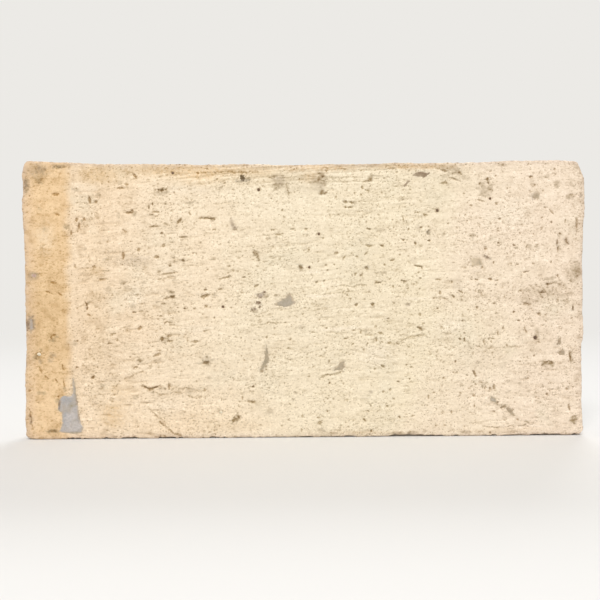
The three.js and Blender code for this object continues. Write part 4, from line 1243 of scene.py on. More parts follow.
    def _scrape_shade(self, canvas: Canvas, lines: Socket, on_back: Socket, band: Socket) -> Socket:
        """How much the scrape and the clay's grain darken a place, less so in the stain, with painted shade
        in the relief.

        Args:
            canvas: The material's tree.
            lines: The fine drag lines.
            on_back: 1 on the back and 0 on the sides.
            band: Share of the ochre stain.

        Returns:
            The drop in 8-bit display levels, below 0 where the clay is lighter.
        """
        x, z = canvas.x, canvas.z
        keen = canvas.times(canvas.span(x, -134, -124, (0.2, 1)), canvas.span(x, -60, 20, (1, 0.9)))
        upper = canvas.times(canvas.span(z, 138, 146, (0, 1.6)), canvas.span(x, 50, 10))
        keen = canvas.times(canvas.math("MULTIPLY_ADD", keen, upper, keen), on_back)
        clear = canvas.span(band, 0.0, 1.0, (1.0, 0.55), soft=False)
        groove = canvas.kept("groove")
        crowded = canvas.math("ADD", self.dashes.noise(canvas), self.dash_crowd.on(canvas))
        top_left = canvas.times(canvas.span(z, 135, 141), canvas.span(x, -84, -66))
        top = canvas.times(top_left, canvas.span(x, 50, 10, (0.25, 1)))
        from_middle = canvas.math("ABSOLUTE", canvas.math("SUBTRACT", x, 12.0))
        on_clay = canvas.total(
            canvas.span(groove, -0.02, -0.18, (0, -6), soft=False),
            self.flecks.on(canvas),
            self.lumps.on(canvas),
            self.speckle.on(canvas),
        )
        on_scrape = canvas.total(
            self.dashes.spanned(canvas, crowded),
            self.clots.on(canvas),
            canvas.times(self.streaks.on(canvas), top),
        )
        return canvas.total(
            # Dirt and painted shade in the scrape's grooves, and painted shade in the low parts of the drag
            # lines.
            canvas.span(groove, 0.03, 0.26, (0, 17), soft=False),
            canvas.times(canvas.span(lines, 0.27, 0.42, (16, 0)), keen),
            canvas.times(on_clay, clear),
            canvas.times(on_scrape, on_back),
            self.broad.on(canvas),
            # Painted light: lighter towards the bottom, where the lamps light the back less.
            canvas.span(z, 50, 5, (0, -4)),
            canvas.times(self.clouds.on(canvas), canvas.span(from_middle, 60, 140, (0.15, 1.2))),
        )

    def _holes(self, canvas: Canvas, levels: Socket, on_back: Socket, band: Socket) -> Socket:
        """Adds the dirt and painted shade of the strewn holes, and of those with a place of their own, to the
        drop in levels.

        Args:
            canvas: The material's tree.
            levels: The drop so far.
            on_back: 1 on the back and 0 on the sides.
            band: Share of the ochre stain.

        Returns:
            The drop in 8-bit display levels.
        """
        own = canvas.kept("hole")
        torn = canvas.math("MULTIPLY_ADD", canvas.span(own, 0.0, 0.3), self.hole_fray.on(canvas), own)
        amounts = [canvas.math("MAXIMUM", torn, 0.0)]
        seen = canvas.times(on_back, canvas.span(band, 0.0, 1.0, (1.0, 0.5), soft=False))
        for scatter in SCATTERS:
            amounts.append(canvas.times(canvas.times(scatter.hole(canvas), seen), scatter.tint))
        for amount in amounts:
            kept = canvas.times(levels, canvas.math("SUBTRACT", 1.0, amount))
            levels = canvas.math("MULTIPLY_ADD", amount, self.hole_levels, kept)
        return levels

    def _worn_and_shaded_rim(self, canvas: Canvas, colour: Socket) -> Socket:
        """Adds the darker arris, its wear and painted shade along the edge, and the cut sides with dirt and
        traces of lime.

        Args:
            canvas: The material's tree.
            colour: The colour so far.

        Returns:
            The colour.
        """
        # Painted shade along the arris, with its wear.
        worn = canvas.capped(canvas.kept("rim"), self.rim_wear_and_shade.on(canvas))
        colour = canvas.blend(worn, colour, self.worn)
        side = canvas.span(canvas.y, -4.6, -3.4)
        for patches, shade in ((self.dirt_patches, self.side_dirt), (self.lime_patches, self.side_lime)):
            colour = canvas.blend(canvas.times(patches.on(canvas), side), colour, shade)
        return colour


class Bedding(Enum):
    """The two kinds of mortar in the hollows, each by its material slot."""

    GREY = "mortar_grey"
    BUFF = "mortar_buff"


@dataclass(frozen=True)
class MortarFinish:
    """Dull sandy bedding mortar, wiped flat, tinted in patches and darker along its edge: its own outline and
    painted shade.

    Attributes:
        clay: The colour of clay rubbed over the mortar.
        bump_height: Height of the relief too fine for the mesh.
    """

    bedding: Bedding
    middle: Rgb
    cloud: Rgb
    edge: Rgb
    sand: Rgb
    tints: tuple[tuple[Damp, Rgb], ...] = (
        (Damp.OLIVE, srgb(162, 150, 122)),
        (Damp.WARM, srgb(166, 144, 120)),
        (Damp.COOL, srgb(172, 172, 174)),
        (Damp.PALE, srgb(208, 201, 197)),
        (Damp.ROSE, srgb(194, 160, 146)),
        (Damp.DARK, srgb(112, 94, 68)),
    )
    clay: Rgb = srgb(234, 214, 184)
    roughness: float = 0.9
    specular: float = 0.2
    bump_height: float = 0.16
    clouds: Patches = Patches(3.6, 5.0, 0.36, 0.64)
    edge_fray: Patches = Patches(0.9, 3.0, 0.3, 0.7, (-0.6, 0.6), soft=False)
    sand_specks: Patches = Patches(0.5, 2.0, 0.56, 0.7, (0, 0.4))
    veil_patches: Patches = Patches(1.8, 4.0, 0.3, 0.7, (0.2, 1.8), soft=False)
    tint_patches: Patches = Patches(1.4, 4.0, 0.32, 0.68, (0.45, 1.7), soft=False)
    grain_light: Patches = Patches(0.8, 3.0, 0.3, 0.7, (0.92, 1.06), soft=False)

    def made(self) -> Material:
        """Makes the material.

        Returns:
            The material.
        """
        material, canvas = new_finish(self.bedding.value)
        colour = canvas.blend(self.clouds.on(canvas), self.middle, self.cloud)
        inner = canvas.math("ADD", canvas.kept("inner"), self.edge_fray.on(canvas))
        # Darker edge: the mortar's own brownish outline and painted shade where it meets the hollow's rim.
        colour = canvas.blend(canvas.span(inner, 0.0, 1.1, (0.5, 0.0)), colour, self.edge)
        colour = canvas.blend(self.sand_specks.on(canvas), colour, self.sand)
        thin = canvas.span(inner, 0.9, -0.2, (0.0, 0.5))
        veil = canvas.math("MULTIPLY_ADD", canvas.kept("veil"), self.veil_patches.on(canvas), thin)
        colour = canvas.blend(canvas.math("MINIMUM", veil, 1.0), colour, self.clay)
        uneven = self.tint_patches.on(canvas)
        for tint, shade in self.tints:
            colour = canvas.blend(canvas.capped(canvas.kept(tint.value), uneven), colour, shade)
        grain = self.grain_light.on(canvas)
        colour = canvas.blend(1.0, colour, canvas.joined(grain, grain, grain), "MULTIPLY")
        height = canvas.noise(canvas.place, 0.6, 4.0)
        canvas.dress(colour, self.roughness, height, self.bump_height, specular=self.specular)
        return material


MORTARS = {
    Bedding.GREY: MortarFinish(
        Bedding.GREY, srgb(190, 184, 180), srgb(186, 176, 164), srgb(166, 148, 134), srgb(150, 138, 128)
    ),
    Bedding.BUFF: MortarFinish(
        Bedding.BUFF, srgb(176, 164, 142), srgb(186, 170, 146), srgb(160, 142, 116), srgb(140, 124, 100)
    ),
}


class Inclusion(Enum):
    """What a grain fired into the clay is, each by its material slot."""

    IRON = "iron_grain"
    LIME = "lime_grain"


@dataclass(frozen=True)
class GrainFinish:
    """A fused dark iron grain or a chalky lime grain."""

    inclusion: Inclusion
    base: Rgb
    fleck: Rgb
    roughness: float
    bump_height: float = 0.12

    def made(self) -> Material:
        """Makes the material.

        Returns:
            The material.
        """
        material, canvas = new_finish(self.inclusion.value)
        clouds = canvas.noise(canvas.place, 0.55, 4.0)
        colour = canvas.blend(canvas.span(clouds, 0.4, 0.62), self.base, self.fleck)
        roughness = canvas.span(clouds, 0.3, 0.7, (0.8 * self.roughness, 1))
        canvas.dress(colour, roughness, canvas.noise(canvas.place, 0.3, 3.0), self.bump_height)
        return material


INCLUSIONS = {
    Inclusion.IRON: GrainFinish(Inclusion.IRON, srgb(96, 74, 56), srgb(132, 104, 78), 0.6),
    Inclusion.LIME: GrainFinish(Inclusion.LIME, srgb(244, 236, 214), srgb(226, 208, 178), 0.95),
}


@dataclass(frozen=True)
class GlazeFinish:
    """Plain off-white glaze with fine age cracks, thin and worn to the clay along its edges.

    Attributes:
        thin: The colour where it is thin.
        large_cell: Size of the cells between the large cracks.
        small_cell: Size of the cells between the small ones.
        bump_height: Height of the relief too fine for the mesh.
    """

    white: Rgb = srgb(234, 226, 211)
    cloud: Rgb = srgb(229, 220, 202)
    thin: Rgb = srgb(226, 206, 172)
    crack: Rgb = srgb(152, 134, 108)
    roughness: float = 0.16
    thin_roughness: float = 0.7
    large_cell: float = 12.0
    small_cell: float = 4.6
    bump_height: float = 0.05
    clouds: Patches = Patches(38.0, 3.0, 0.4, 0.62)
    edge_fray: Patches = Patches(2.4, 4.0, 0.3, 0.7, (-0.45, 0.45), soft=False)
    specks: Patches = Patches(0.9, 0.0, 0.79, 0.84, shift=(7.0, 0.0, 3.0))

    def made(self) -> Material:
        """Makes the material.

        Returns:
            The material.
        """
        material, canvas = new_finish("glaze")
        flat = canvas.flat()
        colour = canvas.blend(self.clouds.on(canvas), self.white, self.cloud)
        bent = self._bent(canvas, flat)
        large = canvas.times(self._cracks(canvas, bent, self.large_cell), self._some(canvas, flat, 7.0, 0.4))
        small = canvas.times(self._cracks(canvas, bent, self.small_cell), self._some(canvas, flat, 16.0, 0.5))
        line = canvas.math("MAXIMUM", large, canvas.times(small, 0.7))
        worn = canvas.math("ADD", canvas.kept("edge"), self.edge_fray.on(canvas))
        thin = canvas.span(worn, 0.45, 0.95)
        colour = canvas.blend(canvas.times(thin, 0.85), colour, self.thin)
        colour = canvas.blend(canvas.times(line, 0.5), colour, self.crack)
        colour = canvas.blend(canvas.times(self.specks.on(canvas, flat), 0.55), colour, self.crack)
        roughness = canvas.span(thin, 0, 1, (self.roughness, self.thin_roughness), soft=False)
        roughness = canvas.math("MULTIPLY_ADD", line, 0.25, roughness)
        height = canvas.math("SUBTRACT", canvas.times(canvas.noise(canvas.place, 3.5, 2.0), 0.6), line)
        canvas.dress(colour, roughness, height, self.bump_height, strength=0.5)
        return material

    @staticmethod
    def _bent(canvas: Canvas, flat: Socket) -> Socket:
        """Pushes places about, so that the crack cells are uneven.

        Args:
            canvas: The material's tree.
            flat: The place on the face.

        Returns:
            The place in two dimensions.
        """
        x, _, z = canvas.parts(flat)
        moved = canvas.shifted(flat, (17.0, 0.0, 5.0))
        for size, reach in ((14.0, 9.0), (3.0, 2.0)):
            x = canvas.math("MULTIPLY_ADD", canvas.noise(flat, size, 2.0), reach, x)
            z = canvas.math("MULTIPLY_ADD", canvas.noise(moved, size, 2.0), reach, z)
        return canvas.joined(x, z, 0.0)

    @staticmethod
    def _cracks(canvas: Canvas, bent: Socket, cell: float) -> Socket:
        """Hairlines round cells of one size.

        Args:
            canvas: The material's tree.
            bent: The place in two dimensions.
            cell: The cells' size in millimetres.

        Returns:
            1 on the hairlines and 0 between them.
        """
        inputs = {"Vector": bent, "Scale": 1 / cell}
        kind = {"voronoi_dimensions": "2D", "feature": "DISTANCE_TO_EDGE"}
        away = canvas.add("ShaderNodeTexVoronoi", inputs, **kind).outputs["Distance"]
        return canvas.span(away, 0.2 / cell, 0.06 / cell)

    @staticmethod
    def _some(canvas: Canvas, flat: Socket, size: float, least: float) -> Socket:
        """A mask of soft areas, which leaves cracks out where it is 0."""
        moved = canvas.shifted(flat, (31.0, 0.0, size))
        return canvas.span(canvas.noise(moved, size, 2.0), least, least + 0.1)


# The slab's outline

# How far the right end stands out beyond the solid's
END_REACH = 0.72

# The middle of the back, as x and z
MIDDLE = (0.0, 75.0)


@dataclass(frozen=True)
class Section:
    """The slab's outline at one depth, as four sides between its corners.

    Attributes:
        y: The depth of the section.
        low: Points of the lower side by rising x.
        high: Points of the upper side by rising x.
        left: Points of the left side by rising z.
        right: Points of the right side by rising z.
    """

    y: float
    low: Array
    high: Array
    left: Array
    right: Array

    @classmethod
    def of(cls, node: Piece, y: float, within: Section | None = None) -> Section:
        """Reads a section from a CAD node whose points lie in rings.

        Args:
            node: The slab or the glaze.
            y: The depth of the ring.
            within: A ring that this one goes round, which tells its points from those of the hollows.

        Returns:
            The section.
        """
        points = points_of(node)
        ring = np.unique(np.round(points[np.abs(points[:, 1] - y) < 0.02][:, [0, 2]], 3), axis=0)
        if within is not None:
            ring = ring[depth_inside(ring[:, 0], ring[:, 1], within.loop()) < 0.2]
        middle = (ring.min(axis=0) + ring.max(axis=0)) / 2
        ring = ring[np.argsort(np.arctan2(ring[:, 1] - middle[1], ring[:, 0] - middle[0]))]
        low, high = ring.min(axis=0), ring.max(axis=0)
        corners = [low, (high[0], low[1]), high, (low[0], high[1])]
        starts = [int(np.argmin(np.hypot(*(ring - corner).T))) for corner in corners]
        count = len(ring)
        sides = []
        for start, end in zip(starts, starts[1:] + starts[:1]):
            steps = (end - start) % count + 1
            sides.append(ring[(start + np.arange(steps)) % count])
        return cls(y, sides[0], sides[2][::-1], sides[3][::-1], sides[1])

    def lengthened(self, reach: float) -> Section:
        """The same outline with its right end moved out and its left end kept.

        Args:
            reach: How far the right end moves.

        Returns:
            The longer section.
        """
        start = self.loop()[:, 0].min()
        share = 1 + reach / (self.loop()[:, 0].max() - start)
        sides = [
            np.column_stack([start + (side[:, 0] - start) * share, side[:, 1]])
            for side in (self.low, self.high, self.left, self.right)
        ]
        return Section(self.y, *sides)

    def loop(self) -> Array:
        """The whole outline, round from the lower left corner to the right."""
        return np.vstack([self.low[:-1], self.right[:-1], self.high[:0:-1], self.left[:0:-1]])

    @staticmethod
    def along(side: Array, share: Array, axis: int) -> Array:
        """Points at shares of a side's length along one axis.

        Args:
            side: The side's points.
            share: The shares, from 0 to 1.
            axis: 0 for the lower and upper side and 1 for the left and right one.

        Returns:
            One row of x and z for each share.
        """
        run = side[0, axis] + (side[-1, axis] - side[0, axis]) * share
        order = np.maximum.accumulate(side[:, axis])
        other = np.interp(run, order, side[:, 1 - axis])
        return np.column_stack([run, other] if axis == 0 else [other, run])

    def sides(self, across: Array, upward: Array) -> list[Array]:
        """Points along its lower, upper, left and right side at shares of the length and the height."""
        level = [self.along(side, across, 0) for side in (self.low, self.high)]
        return level + [self.along(side, upward, 1) for side in (self.left, self.right)]

    def perimeter(self, across: Array, upward: Array) -> Array:
        """The outline at grid shares, round from the lower left corner, as rows of x and z.

        Args:
            across: Shares of the length, from 0 to 1.
            upward: Shares of the height, from 0 to 1.

        Returns:
            One row for each step round, with no corner twice.
        """
        low, high, left, right = self.sides(across, upward)
        return np.vstack([low[:-1], right[:-1], high[:0:-1], left[:0:-1]])

    def sheet(self, across: Array, upward: Array) -> tuple[Array, Array]:
        """A grid of places that fills the outline.

        Args:
            across: Shares of the length for the grid's columns.
            upward: Shares of the height for its rows.

        Returns:
            The x and the z of the places, one row of the grid after the other.
        """
        u, v = across[None, :, None], upward[:, None, None]
        low, high, left, right = self.sides(across, upward)
        low, high, left, right = low[None], high[None], left[:, None], right[:, None]
        corners = (1 - u) * (1 - v) * low[:, :1] + u * (1 - v) * low[:, -1:]
        corners = corners + (1 - u) * v * high[:, :1] + u * v * high[:, -1:]
        places = (1 - v) * low + v * high + (1 - u) * left + u * right - corners
        return places[:, :, 0], places[:, :, 1]


def edge_steps(length: float, step: float, close: tuple[float, ...]) -> Array:
    """Shares of a length with close steps near both ends and even ones between.

    Args:
        length: The whole length.
        step: The even step.
        close: Distances from each end of the close steps, rising.

    Returns:
        Shares from 0 to 1.
    """
    start, end = close[-1], length - close[-1]
    even = np.linspace(start, end, int((end - start) / step) + 2)[1:-1]
    runs = [[0.0], close, even, length - np.array(close[::-1]), [length]]
    return np.concatenate(runs) / length


def grid_faces(columns: int, rows: int) -> Array:
    """Quads of a grid whose points run along its rows, facing the back."""
    first = (np.arange(rows - 1)[:, None] * columns + np.arange(columns - 1)[None, :]).ravel()
    return np.column_stack([first, first + 1, first + columns + 1, first + columns])


def outward_of(ring: Array, end: float) -> Array:
    """Which way is out at the places of an outline: along X past the distance of an end, else along Z."""
    sides = np.where(np.abs(ring[:, :1] - MIDDLE[0]) > end, [[1.0, 0.0]], [[0.0, 1.0]])
    return sides * np.sign(ring - np.array(MIDDLE))


@dataclass
class Sheet:
    """A grid of places that fills a section, with close rows and columns near its edges.

    Attributes:
        section: The outline that it fills.
        step: The even step away from the edges.
        close: Distances from each edge of the close steps, rising.
    """

    section: Section
    step: float
    close: tuple[float, ...]

    def __post_init__(self) -> None:
        """Works out the places and how far each lies from the four edges."""
        length, height = np.ptp(self.section.loop(), axis=0)
        self.across = edge_steps(length, self.step, self.close)
        self.upward = edge_steps(height, self.step, self.close)
        self.x, self.z = self.section.sheet(self.across, self.upward)
        self.left, self.right = length * self.across[None, :], length * (1 - self.across[None, :])
        self.low, self.high = height * self.upward[:, None], height * (1 - self.upward[:, None])
        self.from_edge = np.minimum(np.minimum(self.left, self.right), np.minimum(self.low, self.high))

    def rounded(self, width: object) -> Array:
        """How far a rounded edge falls away.

        Args:
            width: How far in from the edge the rounding starts, as one number or one for each place.

        Returns:
            0 inside the rounding and 1 at the edge.
        """
        fall = np.zeros(self.x.shape)
        for distance in (self.left, self.right, self.low, self.high):
            share = np.clip(1 - distance / width, 0, 1)
            fall = np.hypot(fall, 1 - np.sqrt(np.clip(1 - share * share, 0, 1)))
        return np.minimum(fall, 1)

    def faces(self) -> Array:
        """Its quads, facing the back."""
        return grid_faces(len(self.across), len(self.upward))

    def border(self) -> Array:
        """Point numbers round it, from the lower left corner to the right.

        Returns:
            The numbers, each of them once.
        """
        columns, rows = len(self.across), len(self.upward)
        lower = np.arange(columns - 1)
        right = np.arange(rows - 1) * columns + columns - 1
        upper = (rows - 1) * columns + np.arange(columns - 1, 0, -1)
        left = np.arange(rows - 1, 0, -1) * columns
        return np.concatenate([lower, right, upper, left])

    def round(self, section: Section) -> Array:
        """The places of a section that go with the places of its border."""
        return section.perimeter(self.across, self.upward)


@dataclass
class Rings:
    """Closed rings of points added one after the other round a sheet.

    Attributes:
        last: Point numbers of the ring before, at first the sheet's border.
        start: Number of the next point.
        flipped: True where the sheet faces away from the back.
    """

    last: Array
    start: int
    flipped: bool = False
    points: list[Array] = field(default_factory=list)
    faces: list[Array] = field(default_factory=list)

    def add(self, ring: Array, depth: object) -> None:
        """Adds a ring, nowhere below the ground.

        Args:
            ring: Its places as rows of x and z.
            depth: Its y, as one number or one for each place.
        """
        depths = np.broadcast_to(depth, len(ring))
        self.points.append(np.column_stack([ring[:, 0], depths, np.maximum(ring[:, 1], 0)]))
        numbers = self.start + np.arange(len(ring))
        quads = np.column_stack([self.last, numbers, np.roll(numbers, -1), np.roll(self.last, -1)])
        self.faces.extend(quads[:, ::-1] if self.flipped else quads)
        self.last, self.start = numbers, self.start + len(ring)

    def close(self) -> None:
        """Closes the last ring with one flat face."""
        self.faces.append(self.last if self.flipped else self.last[::-1])


# The clay


@dataclass
class ClayRelief:
    """How deep the scraped back lies below its plane at each place, and what stains it or paints shade on it
    there.

    Attributes:
        hollows: Outlines of the hollows that hold mortar.
        sockets: Middle and radius of each grain's socket.
        mouth: How far a hole's mouth flares past its oval, as a share of its size.
        bleed: How far a smear bleeds past its oval, as a share of its size.
        large_mark: Size above which a smear fades out more slowly.
    """

    hollows: list[Array]
    sockets: list[tuple[float, float, float]]
    hollow_depth: float = 1.0
    swell: float = 0.14
    drag: float = 0.1
    ripple: float = 0.045
    grain: float = 0.06
    tear: float = 0.24
    mouth: float = 0.26
    bleed: float = 0.22
    large_mark: float = 9.0
    socket_depth: float = 0.45

    def __post_init__(self) -> None:
        """Draws the noise that the relief is made of."""
        self.broad, self.lines, self.fine, self.fray = (Relief(seed) for seed in (3, 14, 15, 92))

    def ragged(self, x: Array, z: Array) -> Array:
        """Noise that frays the outline of a mark."""
        return 0.38 * self.fray.at(x / 0.9, z / 0.7, 2)

    def _marked(
        self,
        x: Array,
        z: Array,
        marks: list[Mark],
        past: float,
        fray: float,
        full: tuple[float, float],
    ) -> Array:
        """How strong marks are at each place.

        Args:
            x: Places along the tile.
            z: Places above the lower edge.
            marks: The marks.
            past: How far a mark runs past its oval, as a share of its size.
            fray: How much its outline frays.
            full: How far inside its oval a small and a large mark has its whole strength.

        Returns:
            0 outside and a mark's own strength at its middle.
        """
        total = np.zeros(x.shape)
        for mark in marks:
            size = max(mark.length, mark.width)
            spot = near(x, z, [(mark.x, mark.z)], size)
            reach = past + mark.reach(x[spot], z[spot], fray * self.ragged(x[spot], z[spot]))
            share = eased(reach, 0, full[1] if size > self.large_mark else full[0])
            total[spot] = np.maximum(total[spot], mark.strength * share)
        return total

    def holes(self, x: Array, z: Array, rows: tuple, full: float) -> Array:
        """How far into the holes of a table each place is, as a share of the hole's depth."""
        marks = [Mark(*row[:4], 1.0, *row[4:]) for row in rows]
        return self._marked(x, z, marks, self.mouth, 1.0, (full, full))

    def smeared(self, x: Array, z: Array, rows: tuple) -> Array:
        """How strong the smears of a table are at each place."""
        return self._marked(x, z, [Mark(*row) for row in rows], self.bleed, 1.1, (0.5, 1.1))

    def scrape(self, x: Array, z: Array) -> Array:
        """The scrape's own relief: drag lines, ripples, torn streaks and grain, about 0.

        Args:
            x: Places along the back, in millimetres.
            z: Places up the back, in millimetres.

        Returns:
            Depth of the relief at each place, in millimetres.
        """
        bent = z + 4.5 * self.broad.at(x / 55 + 3, z / 40) - 0.06 * x
        strength = 0.6 + 0.8 * eased(self.broad.at(x / 44 + 9, z / 30 + 4), -0.5, 0.6)
        strength *= (0.3 + 0.7 * eased(x, -134, -122)) * (1 - 0.25 * eased(x, -60, 20))
        ridges = np.abs(self.lines.at(x / 13, bent / 1.25, 3))
        depth = self.drag * strength * (0.55 - 2.2 * ridges)
        depth += self.ripple * strength * self.lines.at(x / 6 + 50, bent / 0.75 + 30, 2)
        depth += self.grain * self.fine.at(x / 1.05, z / 0.95, 2)
        tears = self.fine.at(x / 8 + 20, bent / 1.3 + 70, 2)
        return depth + self.tear * strength * eased(tears, 0.36, 0.72)

    def depth(self, x: Array, z: Array) -> Array:
        """Depth below the back's plane.

        Args:
            x: Places along the back, in millimetres.
            z: Places up the back, in millimetres.

        Returns:
            Depth at each place, in millimetres.
        """
        depth = self.swell * (1 + self.broad.at(x / 38, z / 16, 2)) + self.scrape(x, z)
        depth += 0.6 * self.holes(x, z, DARK_HOLES, 0.7)
        depth += 0.34 * self.holes(x, z, PALE_HOLES, 0.7)
        depth += self._laps(x, z)
        return np.maximum(depth, self._hollows(x, z, depth))

    def _folds(self, x: Array, z: Array, margin: float) -> Iterator[tuple]:
        """Goes through the folds of dragged clay, each with its line made uneven by noise.

        Args:
            x: Places along the tile.
            z: Places above the lower edge.
            margin: How far from a fold places count.

        Yields:
            A fold's width, its run, the places near it, their distance from it and on which side they lie.
        """
        for width, points in LAPS:
            run = np.array(points, float)
            spot = near(x, z, run, margin)
            near_x, near_z = x[spot], z[spot]
            moved_x = near_x + 0.7 * self.fray.at(near_x / 2.2 + 40, near_z / 2.2, 2)
            moved_z = near_z + 0.9 * self.fray.at(near_x / 2.4, near_z / 2.4, 3)
            yield width, run, spot, *run_distance(moved_x, moved_z, run)

    def _laps(self, x: Array, z: Array) -> Array:
        """Folds of dragged clay: a narrow groove with a raised lip above it.

        Args:
            x: Places along the back, in millimetres.
            z: Places up the back, in millimetres.

        Returns:
            Depth that they add at each place, in millimetres.
        """
        total = np.zeros(x.shape)
        for width, run, spot, distance, side in self._folds(x, z, 5):
            ends = np.minimum(np.abs(x[spot] - run[0, 0]), np.abs(x[spot] - run[-1, 0]))
            fade = eased(ends, 0, 3) if abs(run[-1, 0] - run[0, 0]) > 8 else 1.0
            groove = eased(1 - distance / width, 0, 0.8)
            lip = eased(side, 0, 0.4) * np.exp(-np.maximum(distance, 0) / (2.2 * width))
            total[spot] += fade * width * (0.42 * groove - 0.2 * lip)
        return total

    def _hollows(self, x: Array, z: Array, depth: Array) -> Array:
        """The hollows under the mortar and the sockets of the grains.

        Args:
            x: Places along the back, in millimetres.
            z: Places up the back, in millimetres.
            depth: Depth of the back without them.

        Returns:
            Depth of the back with them, in millimetres.
        """
        total = depth.copy()
        for outline in self.hollows:
            spot = near(x, z, outline, 1.5)
            inside = depth_inside(x[spot], z[spot], outline)
            inside += 0.85 * self.fray.at(x[spot] / 1.3, z[spot] / 1.3, 3) - 0.15
            total[spot] = np.maximum(total[spot], self.hollow_depth * eased(inside, -0.15, 0.7))
        for middle_x, middle_z, radius in self.sockets:
            spot = near(x, z, [(middle_x, middle_z)], radius + 1)
            distance = np.hypot(x[spot] - middle_x, z[spot] - middle_z)
            distance += 0.12 * self.fray.at(x[spot] / 0.6, z[spot] / 0.6)
            total[spot] = np.maximum(
                total[spot], self.socket_depth * (1 - eased(distance, radius - 0.1, radius + 0.2))
            )
        return total

    def dirt_and_shade_of_holes(self, x: Array, z: Array) -> Array:
        """Dirt and painted shade in the holes that have a place of their own, the folds and the sockets.

        Args:
            x: Places along the back, in millimetres.
            z: Places up the back, in millimetres.

        Returns:
            A share from 0 upward for each place.
        """
        dark = 0.86 * self.holes(x, z, DARK_HOLES, 0.6)
        pale = 0.74 * self.holes(x, z, PALE_HOLES, 0.6)
        # Dirt and painted shade in the creases of the folds.
        folds = np.zeros(x.shape)
        for width, _, spot, distance, _ in self._folds(x, z, 2):
            broken = eased(self.fine.at(x[spot] / 2.5 + 7, z[spot] / 1.5, 2), -0.55, 0.15)
            fold = (0.26 + 0.75 * width) * broken * eased(1.35 - distance / width, 0.1, 1.0)
            folds[spot] = np.maximum(folds[spot], fold)
        tint = np.maximum(np.maximum(dark, pale), folds)
        # Painted shade in the socket round each grain.
        for middle_x, middle_z, radius in self.sockets:
            spot = near(x, z, [(middle_x, middle_z)], radius + 1.5)
            distance = np.hypot(x[spot] - middle_x, z[spot] - middle_z)
            tint[spot] = np.maximum(tint[spot], 0.5 * (1 - eased(distance, radius, radius + 0.5)))
        return tint

    def mortar_halo(self, x: Array, z: Array) -> Array:
        """How much mortar is smeared on the clay round the scraps.

        Args:
            x: Places along the back, in millimetres.
            z: Places up the back, in millimetres.

        Returns:
            A share from 0 to 1 for each place.
        """
        total = np.zeros(x.shape)
        for outline in self.hollows:
            spot = near(x, z, outline, 3)
            inside = depth_inside(x[spot], z[spot], outline)
            inside += 0.7 * self.fray.at(x[spot] / 1.6, z[spot] / 1.6, 3)
            total[spot] = np.maximum(total[spot], eased(inside, -1.2, 0.3))
        return total


